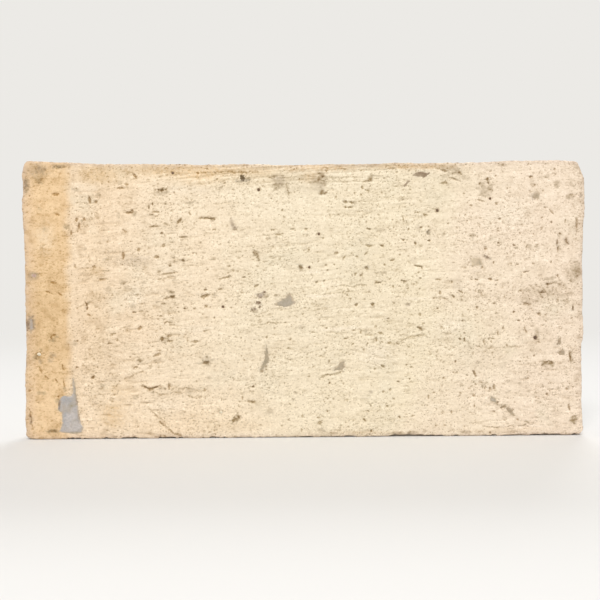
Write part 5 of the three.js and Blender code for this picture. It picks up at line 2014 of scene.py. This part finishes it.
@dataclass
class BiscuitBody:
    """The fired clay slab.

    Attributes:
        step: Spacing of the back's mesh before it is thinned.
        roll_width: How far in from the edge the worn arris starts.
        roll_depth: How deep it is at the edge.
        right_pull: How far the right end's edge is drawn in.
        left_pull: The same of the left end.
        notch_height: How far up the notches of the lower arris reach.
        chip_fade: How far above the lower arris its long chips fade out.
        end_x: Distance from the middle past which the outline belongs to an end.
        wall_bump: Height of the bumps of the four sides.
        most_triangles: Triangles kept.
    """

    step: float = 0.42
    roll_width: float = 1.3
    roll_depth: float = 1.1
    right_pull: float = 0.15
    left_pull: float = -0.15
    notch_height: float = 0.75
    chip_fade: float = 1.6
    end_x: float = 151.0
    wall_bump: float = 0.16
    back_y: float = -6.0
    silhouette_y: float = -4.9
    waist_y: float = -3.6
    front_y: float = 5.375
    wall_step: float = 0.7
    most_triangles: int = 196000
    close_steps: tuple[float, ...] = (0.05, 0.13, 0.24, 0.38, 0.55, 0.78, 1.05, 1.4)

    def build(self, node: Piece, relief: ClayRelief, finish: Material) -> None:
        """Builds the slab in place of its node.

        Args:
            node: The slab's CAD node.
            relief: The relief of its back.
            finish: Its material.
        """
        waist = Section.of(node, self.waist_y)
        silhouette = Section.of(node, self.silhouette_y, waist)
        front = Section.of(node, self.front_y)
        silhouette, waist, front = (
            section.lengthened(END_REACH) for section in (silhouette, waist, front)
        )
        sheet = Sheet(silhouette, self.step * (1), self.close_steps)
        points, on_back, rim = self._back_points(sheet, relief)
        rings = Rings(sheet.border(), len(points))
        self._wall([sheet.round(section) for section in (silhouette, waist, front)], points, rings)
        piece = mesh_of("tile_body", np.vstack([points, *rings.points]), [*sheet.faces(), *rings.faces])
        count = rings.start - len(points)
        store(piece, "on_back", np.concatenate([on_back, np.zeros(count)]))
        store(piece, "rim", np.concatenate([rim, np.full(count, 0.5)]))
        values = {"Material": finish, **{f"{hole.name} depth": hole.depth * MM for hole in SCATTERS}}
        grown(piece, self._hole_tree(), values)
        self._thin(piece)
        self._stain_and_painted_shade(piece, relief)
        settled(piece, "clay", node.name)

    def _back_points(self, sheet: Sheet, relief: ClayRelief) -> tuple[Array, Array, Array]:
        """The points of the back with their relief and the worn arris, and two shares for each point.

        Args:
            sheet: The grid of the back.
            relief: The relief of the back.

        Returns:
            The points, how far inside the arris each lies, and how much of the arris's wear and painted shade
            it takes.
        """
        x, z, from_edge = sheet.x, sheet.z, sheet.from_edge
        uneven = 1 + 0.35 * relief.broad.at(x / 6, z / 6, 2)
        depth = relief.depth(x.ravel(), z.ravel()).reshape(x.shape)
        rolled = self.roll_depth * sheet.rounded(self.roll_width * uneven)
        chips = eased(relief.fine.at(x / 3.1, z / 3.1, 2), 0.3, 0.75) * np.exp(-from_edge / 1.6)
        inward = eased(from_edge, 0, 1.2)
        deep = self.back_y + rolled + (0.3 + 0.7 * inward) * depth + 0.5 * chips
        # The outline itself is frayed along the grid's own border, and more so near the ground.
        teeth = 1 + 1.6 * (z < 5)
        nudge = 0.3 * teeth * relief.fray.at(x / 1.9, z / 1.9, 2) * np.exp(-from_edge / 0.7)
        outward_x = np.where(sheet.right < sheet.left, 1, -1) * (np.minimum(sheet.left, sheet.right) < 2)
        outward_z = np.where(sheet.high < sheet.low, 1, -1) * (np.minimum(sheet.low, sheet.high) < 2)
        pulled = np.where(outward_x > 0, self.right_pull, self.left_pull) * np.exp(-from_edge / 0.7)
        x = x + (nudge - pulled) * outward_x
        notches = eased(relief.fray.at(x / 2.6 + 5, z / 9, 3), 0.12, 0.62) * np.exp(-sheet.low / 0.9)
        z = z + nudge * outward_z * np.where(z > 3, 1, 0.6) + self.notch_height * notches
        z = np.maximum(z + self._chipped(x, sheet.low), 0)
        # How much of the arris's wear and painted shade each point takes.
        worn = 0.62 * np.exp(-from_edge / 1.3) + 0.16 * np.exp(-from_edge / 3.5)
        return np.column_stack([x.ravel(), deep.ravel(), z.ravel()]), inward.ravel(), worn.ravel()

    def _chipped(self, x: Array, low: Array) -> Array:
        """How far the long chips of the lower arris lift each place.

        Args:
            x: Places along the tile.
            low: Their distance from the lower edge.

        Returns:
            The lift, fading out above the edge.
        """
        lift = np.zeros(x.shape)
        for middle, length, height in EDGE_CHIPS:
            inside = 1 - (2 * (x - middle) / length) ** 2
            lift = np.maximum(lift, height * eased(inside, 0, 0.6))
        return lift * np.exp(-low / self.chip_fade)

    def _wall(self, outlines: list[Array], points: Array, rings: Rings) -> None:
        """Adds the four sides, from the back's border to the glaze, and the flat face under the glaze.

        Args:
            outlines: The slab's outline below the arris, at its waist and at its front.
            points: The points of the back.
            rings: The rings round the back, to which the sides are added.
        """
        silhouette, waist, front = outlines
        heights = np.arange(self.silhouette_y + self.wall_step, self.front_y, self.wall_step)
        rough = Relief(65)
        run = np.arange(len(rings.last)) * self.step
        offset = points[rings.last][:, [0, 2]] - silhouette
        for height in np.append(heights, self.front_y):
            share = (height - self.silhouette_y) / (self.waist_y - self.silhouette_y)
            if share <= 1:
                ring = silhouette + (waist - silhouette) * share
            else:
                share = (height - self.waist_y) / (self.front_y - self.waist_y)
                ring = waist + (front - waist) * share
            bumps = self.wall_bump * rough.at(run / 2.2, np.full(len(run), height / 1.6), 3)
            fade = math.exp(-(height - self.silhouette_y) / 1.2)
            calm = 1 - eased(np.array(height), self.front_y - 1.4, self.front_y)
            outward = outward_of(ring, self.end_x)
            rings.add(ring + offset * fade + outward * bumps[:, None] * calm, height)
        rings.close()

    def _hole_tree(self) -> Tree:
        """Geometry tree that sinks the strewn holes into the back.

        Returns:
            The tree, with the depth of each kind of hole as an input.
        """
        depths = {f"{hole.name} depth": "Float" for hole in SCATTERS}
        canvas, inputs = geometry_tree("strewn_holes", {**depths, "Material": "Material"})
        canvas.measure(canvas.add("GeometryNodeInputPosition").outputs[0])
        total: object = 0.0
        for hole in SCATTERS:
            depth = inputs.outputs[f"{hole.name} depth"]
            total = canvas.math("MULTIPLY_ADD", hole.hole(canvas), depth, total)
        mask = canvas.add("GeometryNodeInputNamedAttribute", {"Name": "on_back"}).outputs["Attribute"]
        offset = canvas.joined(0.0, canvas.times(total, mask), 0.0)
        moved = canvas.add(
            "GeometryNodeSetPosition", {"Geometry": inputs.outputs["Geometry"], "Offset": offset}
        )
        return close_tree(canvas, moved.outputs[0], inputs.outputs["Material"])

    def _thin(self, piece: Piece) -> None:
        """Brings the mesh down to its triangle count, keeping the most where the relief is.

        Args:
            piece: The dressed slab.
        """
        triangles = sum(len(face.vertices) - 2 for face in piece.data.polygons)
        if triangles > self.most_triangles:
            modifier = piece.modifiers.new("thin", "DECIMATE")
            modifier.ratio = self.most_triangles / triangles
            baked(piece)
            points = points_of(piece)
            points[:, 2] = np.maximum(points[:, 2], 0)
            piece.data.vertices.foreach_set("co", (points * MM).astype(np.float32).ravel())

    def _stain_and_painted_shade(self, piece: Piece, relief: ClayRelief) -> None:
        """Keeps the stains, the holes' dirt and painted shade, and the scrape's relief on the mesh's points.

        Args:
            piece: The dressed slab.
            relief: The relief of its back.
        """
        points = points_of(piece)
        on_back = 1 - eased(points[:, 1], -4.4, -3.2)
        x, z = points[:, 0], points[:, 2]
        # The holes' colour is dirt and painted shade; the scrape's relief gives painted shade in its grooves.
        store(piece, "hole", relief.dirt_and_shade_of_holes(x, z) * (1 - eased(points[:, 1], -4.9, -4.2)))
        store(piece, "groove", relief.scrape(x, z) * on_back)
        store(piece, "mortar", relief.mortar_halo(x, z) * on_back)
        for tone in Tone:
            store(piece, tone.value, relief.smeared(x, z, SMEARS[tone]) * on_back)


# What lies in the clay


@dataclass
class MortarScraps:
    """The remains of bedding mortar in the hollows, each a thin sandy plate.

    Attributes:
        step: Spacing of a scrap's mesh.
        lap: How far a scrap runs on under the hollow's sloping edge.
        sink: How far its surface lies below the back's plane.
    """

    step: float = 0.32
    lap: float = 0.5
    sink: float = 0.1
    plane_y: float = -6.0
    bed_y: float = -5.05
    grain_density: float = 0.35
    grain_radius: float = 0.13
    veils: tuple[tuple[str, float], ...] = (
        ("mortar_right_square", 0.35), ("mortar_right_strip", 0.2), ("mortar_right_patch", 0.3),
        ("mortar_left_upper", 0.22),
        ("mortar_lower_green", 0.2), ("mortar_right_spot", 0.2), ("mortar_diagonal", 0.15),
    )

    def build(self, nodes: dict[str, Piece], record: dict, relief: ClayRelief) -> None:
        """Builds every scrap in place of its node.

        Args:
            nodes: The CAD nodes by name.
            record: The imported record, which gives each node's slot.
            relief: The relief of the clay round the scraps, which also frays their tints.
        """
        finishes = {bedding.value: finish.made() for bedding, finish in MORTARS.items()}
        tree = self._sand_tree()
        noise = Relief(35)
        for seed, part in enumerate(record["subparts"]):
            slot = part["material_slot"]
            if slot not in finishes:
                continue
            piece, inner = self._plate(nodes[part["node"]], noise)
            store(piece, "inner", inner)
            store(piece, "veil", np.full(len(inner), dict(self.veils).get(part["node"], 0.0)))
            points = points_of(piece)
            for tint, rows in MORTAR_TINTS.items():
                store(piece, tint.value, relief.smeared(points[:, 0], points[:, 2], rows))
            values = {
                "Grains per square metre": self.grain_density / MM**2,
                "Grain radius": self.grain_radius * MM,
                "Seed": seed,
                "Material": finishes[slot],
            }
            grown(piece, tree, values)
            settled(piece, slot, part["node"])

    def _plate(self, node: Piece, noise: Relief) -> tuple[Piece, Array]:
        """One scrap as a closed plate, and how far inside its outline each point lies.

        Args:
            node: The scrap's solid.
            noise: Noise that roughens its surface.

        Returns:
            The plate, and the depth inside the outline for each of its points.
        """
        outline = cap_outline(node)
        low = outline.min(axis=0) - self.lap - self.step
        high = outline.max(axis=0) + self.lap + self.step
        columns, rows = (int(count) for count in (high - low) / self.step + 1)
        x, z = np.meshgrid(low[0] + np.arange(columns) * self.step, low[1] + np.arange(rows) * self.step)
        x, z = x.ravel(), z.ravel()
        inside = depth_inside(x, z, outline)
        kept = inside > -self.lap
        quads = grid_faces(columns, rows)
        quads = quads[kept[quads].all(axis=1)]
        used = np.unique(quads)
        renumber = np.full(len(x), -1)
        renumber[used] = np.arange(len(used))
        quads = renumber[quads]
        x, z, inside = x[used], z[used], inside[used]
        dip = eased(-inside, -0.5, self.lap)
        top = self.plane_y + self.sink + 0.22 * dip
        top = top + 0.05 * noise.at(x / 1.1, z / 1.1, 3) + 0.06 * noise.at(x / 4.5 + 9, z / 4.5)
        surface = np.column_stack([x, top, z])
        bed = np.column_stack([x, np.full(len(x), self.bed_y), z])
        faces = list(quads) + list(quads[:, ::-1] + len(x)) + self._side(quads, len(x))
        piece = mesh_of(f"{node.name}_sand", np.vstack([surface, bed]), faces)
        return piece, np.concatenate([inside, inside])

    def _side(self, quads: Array, count: int) -> list:
        """The faces between the border of a plate's surface and that of its bed.

        Args:
            quads: Faces of the surface.
            count: How many points the surface has.

        Returns:
            The faces, as four point numbers each.
        """
        edges = {(int(a), int(b)) for quad in quads for a, b in zip(quad, np.roll(quad, -1))}
        border = [(a, b) for a, b in edges if (b, a) not in edges]
        return [(b, a, a + count, b + count) for a, b in sorted(border)]

    def _sand_tree(self) -> Tree:
        """Geometry tree that strews sand grains over a scrap's surface.

        Returns:
            The tree, with the grains' number and size as inputs.
        """
        kinds = {
            "Grains per square metre": "Float",
            "Grain radius": "Float",
            "Seed": "Int",
            "Material": "Material",
        }
        canvas, inputs = geometry_tree("sand_grains", kinds)
        normal = canvas.add("GeometryNodeInputNormal").outputs[0]
        facing = canvas.math("LESS_THAN", canvas.parts(normal)[1], -0.7)
        strewn = canvas.add(
            "GeometryNodeDistributePointsOnFaces",
            {
                "Mesh": inputs.outputs["Geometry"],
                "Selection": facing,
                "Density": inputs.outputs["Grains per square metre"],
                "Seed": inputs.outputs["Seed"],
            },
        )
        grain = canvas.add(
            "GeometryNodeMeshIcoSphere", {"Radius": inputs.outputs["Grain radius"], "Subdivisions": 1}
        )
        sizes = canvas.add(
            "FunctionNodeRandomValue",
            {0: (0.5, 0.4, 0.5), 1: (1.5, 0.9, 1.4), "Seed": inputs.outputs["Seed"]},
            data_type="FLOAT_VECTOR",
        )
        placed = canvas.add(
            "GeometryNodeInstanceOnPoints",
            {
                "Points": strewn.outputs["Points"],
                "Instance": grain.outputs["Mesh"],
                "Rotation": strewn.outputs["Rotation"],
                "Scale": sizes.outputs[0],
            },
        )
        joined = canvas.add("GeometryNodeJoinGeometry")
        canvas.tree.links.new(placed.outputs[0], joined.inputs[0])
        canvas.tree.links.new(inputs.outputs["Geometry"], joined.inputs[0])
        return close_tree(canvas, joined.outputs[0], inputs.outputs["Material"])


@dataclass
class FusedGrains:
    """The round grains fired into the clay.

    Attributes:
        roughness: How uneven a grain is, as a share of its radius.
        flatness: Its thickness through the tile, as a share of its width.
    """

    roughness: float = 0.42
    flatness: float = 0.66

    def places(self, record: dict) -> list[tuple[float, float, float]]:
        """Middle and radius of each grain, in the plane of the back.

        Args:
            record: The part's record.

        Returns:
            Rows of x, z and radius, in millimetres.
        """
        found = []
        for part in record["subparts"]:
            if part["material_slot"] in [inclusion.value for inclusion in Inclusion]:
                low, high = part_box(part["node"])
                found.append((
                    (low[0] + high[0]) / 2 / MM, (low[2] + high[2]) / 2 / MM, (high[0] - low[0]) / 2 / MM
                ))
        return found

    def build(self, record: dict) -> None:
        """Builds every grain in place of its node.

        Args:
            record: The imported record, which gives each node's slot.
        """
        finishes = {inclusion.value: finish.made() for inclusion, finish in INCLUSIONS.items()}
        tree = self._grain_tree()
        for seed, part in enumerate(record["subparts"]):
            slot = part["material_slot"]
            if slot not in finishes:
                continue
            low, high = (Vector(corner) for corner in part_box(part["node"]))
            piece = mesh_of(f"{part['node']}_fused", np.zeros((1, 3)), [])
            values = {
                "Radius": (high.x - low.x) / 2,
                "Place": (low + high) / 2,
                "Flatness": self.flatness,
                "Roughness": self.roughness,
                "Seed": float(seed),
                "Material": finishes[slot],
            }
            grown(piece, tree, values)
            settled(piece, slot, part["node"])

    def _grain_tree(self) -> Tree:
        """Geometry tree of one uneven, flattened grain.

        Returns:
            The tree, with the grain's size, place and shape as inputs.
        """
        kinds = {
            "Radius": "Float",
            "Place": "Vector",
            "Flatness": "Float",
            "Roughness": "Float",
            "Seed": "Float",
            "Material": "Material",
        }
        canvas, inputs = geometry_tree("fused_grain", kinds)
        radius = inputs.outputs["Radius"]
        ball = canvas.add("GeometryNodeMeshIcoSphere", {"Radius": radius, "Subdivisions": 4})
        spot = canvas.add("GeometryNodeInputPosition").outputs[0]
        spot = canvas.shifted(canvas.vector("MULTIPLY", spot, (1 / MM,) * 3), inputs.outputs["Seed"])
        lumps = canvas.span(canvas.noise(spot, 1.1, 3.0), 0.25, 0.75, (-0.5, 0.5), soft=False)
        height = canvas.times(canvas.times(lumps, inputs.outputs["Roughness"]), radius)
        normal = canvas.add("GeometryNodeInputNormal").outputs[0]
        offset = canvas.vector("MULTIPLY", normal, canvas.joined(height, height, height))
        uneven = canvas.add("GeometryNodeSetPosition", {"Geometry": ball.outputs["Mesh"], "Offset": offset})
        scale = canvas.joined(1.0, inputs.outputs["Flatness"], 1.0)
        placed = canvas.add(
            "GeometryNodeTransform",
            {"Geometry": uneven.outputs[0], "Translation": inputs.outputs["Place"], "Scale": scale},
        )
        return close_tree(canvas, placed.outputs[0], inputs.outputs["Material"])


# The glazed face


@dataclass
class FaceGlaze:
    """The glass layer on the far face, gently wavy, pooled along its edge and run over it in places.

    Attributes:
        step: Spacing of its mesh.
        wave: Height of its waves.
        dome: How far in from the edge it starts to fall away.
        run: Longest run over the edge.
        least_run: Shortest run over the edge.
        skirt: How far a run stands out from the side.
        run_rings: Rings of a run, as the share of its length and the share of the skirt.
        end_x: Distance from the middle past which the outline belongs to an end.
    """

    step: float = 1.15
    wave: float = 0.05
    dome: float = 1.3
    run: float = 2.6
    least_run: float = 0.25
    skirt: float = 0.16
    run_rings: tuple[tuple[float, float], ...] = (
        (0.25, 1.0), (0.6, 1.0), (0.9, 0.8), (1.0, 0.0), (0.5, -2.0), (0.0, -2.0)
    )
    end_x: float = 150.5
    face_y: float = 6.0
    foot_y: float = 5.375
    close_steps: tuple[float, ...] = (0.08, 0.2, 0.38, 0.62, 0.95, 1.4, 2.0)

    def build(self, nodes: dict[str, Piece], finish: Material) -> None:
        """Builds the glaze in place of its node.

        Args:
            nodes: The CAD nodes by name.
            finish: Its material.
        """
        node = nodes["face_glaze"]
        foot = Section.of(node, self.foot_y).lengthened(END_REACH)
        sheet = Sheet(foot, self.step, self.close_steps)
        x, z, from_edge = sheet.x, sheet.z, sheet.from_edge
        noise = Relief(89)
        waves = self.wave * (noise.at(x / 21, z / 21, 3) - 1)
        pool = 0.06 * np.exp(-((from_edge - 3.5) / 2.2) ** 2)
        fall = (self.face_y - self.foot_y) * sheet.rounded(self.dome)
        y = self.face_y - fall + (waves - pool) * eased(from_edge, 0, 2)
        surface = np.column_stack([x.ravel(), y.ravel(), z.ravel()])
        rings = Rings(sheet.border(), len(surface), flipped=True)
        self._runs(sheet.round(foot), noise, rings)
        faces = [*sheet.faces()[:, ::-1], *rings.faces]
        piece = mesh_of("face_glaze_skin", np.vstack([surface, *rings.points]), faces)
        piece.data.materials.append(finish)
        worn = np.exp(-from_edge.ravel() / 0.9)
        store(piece, "edge", np.concatenate([worn, np.full(rings.start - len(surface), 0.6)]))
        settled(piece, "glaze", node.name)

    def _runs(self, rim: Array, noise: Relief, rings: Rings) -> None:
        """Adds the runs over the edge and the flat face on the clay.

        Args:
            rim: The glaze's outline as rows of x and z.
            noise: The noise that makes the runs uneven.
            rings: The rings round the face, to which the runs are added.
        """
        run = np.arange(len(rim)) * 0.6
        uneven = eased(noise.at(run / 7, np.zeros(len(run)), 2), 0.15, 0.8)
        length = self.run * uneven ** 2 + self.least_run
        outward = outward_of(rim, self.end_x)
        for share, proud in self.run_rings:
            rings.add(rim + outward * self.skirt * proud, self.foot_y - share * length)
        rings.close()


# The studio


@dataclass(frozen=True)
class Studio:
    """Pale floor, soft light from above and in front, and the photograph's camera."""

    lens: float = 38.76
    camera_place: tuple[float, float, float] = (-5.91, -359.06, 86.15)
    tilt: float = 1.687
    pan: float = -0.558
    roll: float = -0.331
    floor_size: float = 8000.0
    floor_colour: Rgb = srgb(219, 218, 216)
    background: Rgb = srgb(236, 234, 230)
    fill: float = 0.57
    key_power: float = 71.0
    key_place: tuple[float, float, float] = (-240.0, -1700.0, 2900.0)
    key_size: tuple[float, float] = (1500.0, 900.0)
    rim_power: float = 38.0
    rim_place: tuple[float, float, float] = (700.0, 2100.0, 2500.0)

    def build(self) -> None:
        """Makes the camera, the floor, the lights and the world."""
        self._camera()
        self._floor()
        self._lamp("key", self.key_power, self.key_place)
        self._lamp("rim", self.rim_power, self.rim_place)
        self._world()
        bpy.context.scene.view_settings.view_transform = "Standard"

    def _camera(self) -> None:
        """The camera, turned as the photograph was taken."""
        turn = (
            Matrix.Rotation(math.radians(self.roll), 3, "Z")
            @ Matrix.Rotation(math.radians(self.tilt), 3, "X")
            @ Matrix.Rotation(math.radians(self.pan), 3, "Y")
        )
        # The rows are the view's right, down and forward with x right, y down and z into the scene.
        right, down, forward = (Vector((row[0], row[2], -row[1])) for row in turn)
        data = bpy.data.cameras.new("camera")
        data.lens = self.lens
        data.sensor_width = 36
        camera = bpy.data.objects.new("camera", data)
        place = Matrix((right, -down, -forward)).transposed().to_4x4()
        place.translation = Vector(self.camera_place) * MM
        camera.matrix_world = place
        bpy.context.scene.collection.objects.link(camera)
        bpy.context.scene.camera = camera

    def _floor(self) -> None:
        """The pale floor, which fades into the background far away."""
        half = self.floor_size / 2
        corners = np.array([[-half, -half, 0], [half, -half, 0], [half, half, 0], [-half, half, 0]])
        floor = mesh_of("floor", corners, [[0, 1, 2, 3]])
        material = bpy.data.materials.new("floor_finish")
        material.use_nodes = True
        canvas = Canvas(material.node_tree)
        shader = material.node_tree.nodes["Principled BSDF"]
        shader.inputs["Base Color"].default_value = (*self.floor_colour, 1)
        shader.inputs["Roughness"].default_value = 0.9
        shader.inputs["Specular IOR Level"].default_value = 0.1
        place = canvas.add("ShaderNodeTexCoord").outputs["Object"]
        away = canvas.add("ShaderNodeVectorMath", {0: place}, operation="LENGTH").outputs["Value"]
        far = canvas.span(away, 0.2, 0.9)
        seen = canvas.add("ShaderNodeLightPath").outputs["Is Camera Ray"]
        glow = canvas.add("ShaderNodeEmission", {"Color": (*self.background, 1), "Strength": 1.0})
        mixed = canvas.add(
            "ShaderNodeMixShader",
            {0: canvas.times(far, seen), 1: shader.outputs[0], 2: glow.outputs[0]},
        )
        canvas.feed(material.node_tree.nodes["Material Output"].inputs["Surface"], mixed.outputs[0])
        floor.data.materials.append(material)

    def _lamp(self, name: str, power: float, place: tuple[float, float, float]) -> None:
        """A broad soft light aimed at the middle of the tile.

        Args:
            name: Name of the lamp.
            power: Its power in watts.
            place: Where it hangs, in millimetres.
        """
        data = bpy.data.lights.new(name, "AREA")
        data.shape = "RECTANGLE"
        data.size, data.size_y = (side * MM for side in self.key_size)
        data.energy = power
        lamp = bpy.data.objects.new(name, data)
        lamp.location = Vector(place) * MM
        aim = Vector((MIDDLE[0] * MM, 0, MIDDLE[1] * MM)) - lamp.location
        lamp.rotation_euler = aim.to_track_quat("-Z", "Y").to_euler()
        bpy.context.scene.collection.objects.link(lamp)

    def _world(self) -> None:
        """Even pale light all round, and the plain background."""
        world = bpy.data.worlds.new("studio")
        bpy.context.scene.world = world
        world.use_nodes = True
        canvas = Canvas(world.node_tree)
        light = world.node_tree.nodes["Background"]
        light.inputs["Color"].default_value = (1.0, 0.99, 0.975, 1)
        light.inputs["Strength"].default_value = self.fill
        shown = canvas.add("ShaderNodeBackground", {"Color": (*self.background, 1), "Strength": 1.0})
        path = canvas.add("ShaderNodeLightPath").outputs
        seen = canvas.math("MAXIMUM", path["Is Camera Ray"], path["Is Glossy Ray"])
        mixed = canvas.add("ShaderNodeMixShader", {0: seen, 1: light.outputs[0], 2: shown.outputs[0]})
        canvas.feed(world.node_tree.nodes["World Output"].inputs["Surface"], mixed.outputs[0])


def main() -> None:
    """Loads the frame and builds the studio and the tile round it."""
    logging.basicConfig(level=logging.INFO, format="%(name)s: %(message)s")
    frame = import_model()
    nodes, record = frame["nodes"], frame["record"]
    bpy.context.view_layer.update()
    Studio().build()
    scraps, grains = MortarScraps(), FusedGrains()
    slots = {part["node"]: part["material_slot"] for part in record["subparts"]}
    beddings = [bedding.value for bedding in Bedding]
    hollows = [cap_outline(nodes[name]) for name, slot in slots.items() if slot in beddings]
    relief = ClayRelief(hollows, grains.places(record))
    BiscuitBody().build(nodes["biscuit_body"], relief, ClayFinish().made())
    scraps.build(nodes, record, relief)
    grains.build(record)
    FaceGlaze().build(nodes, GlazeFinish().made())


if __name__ == "__main__":
    main()
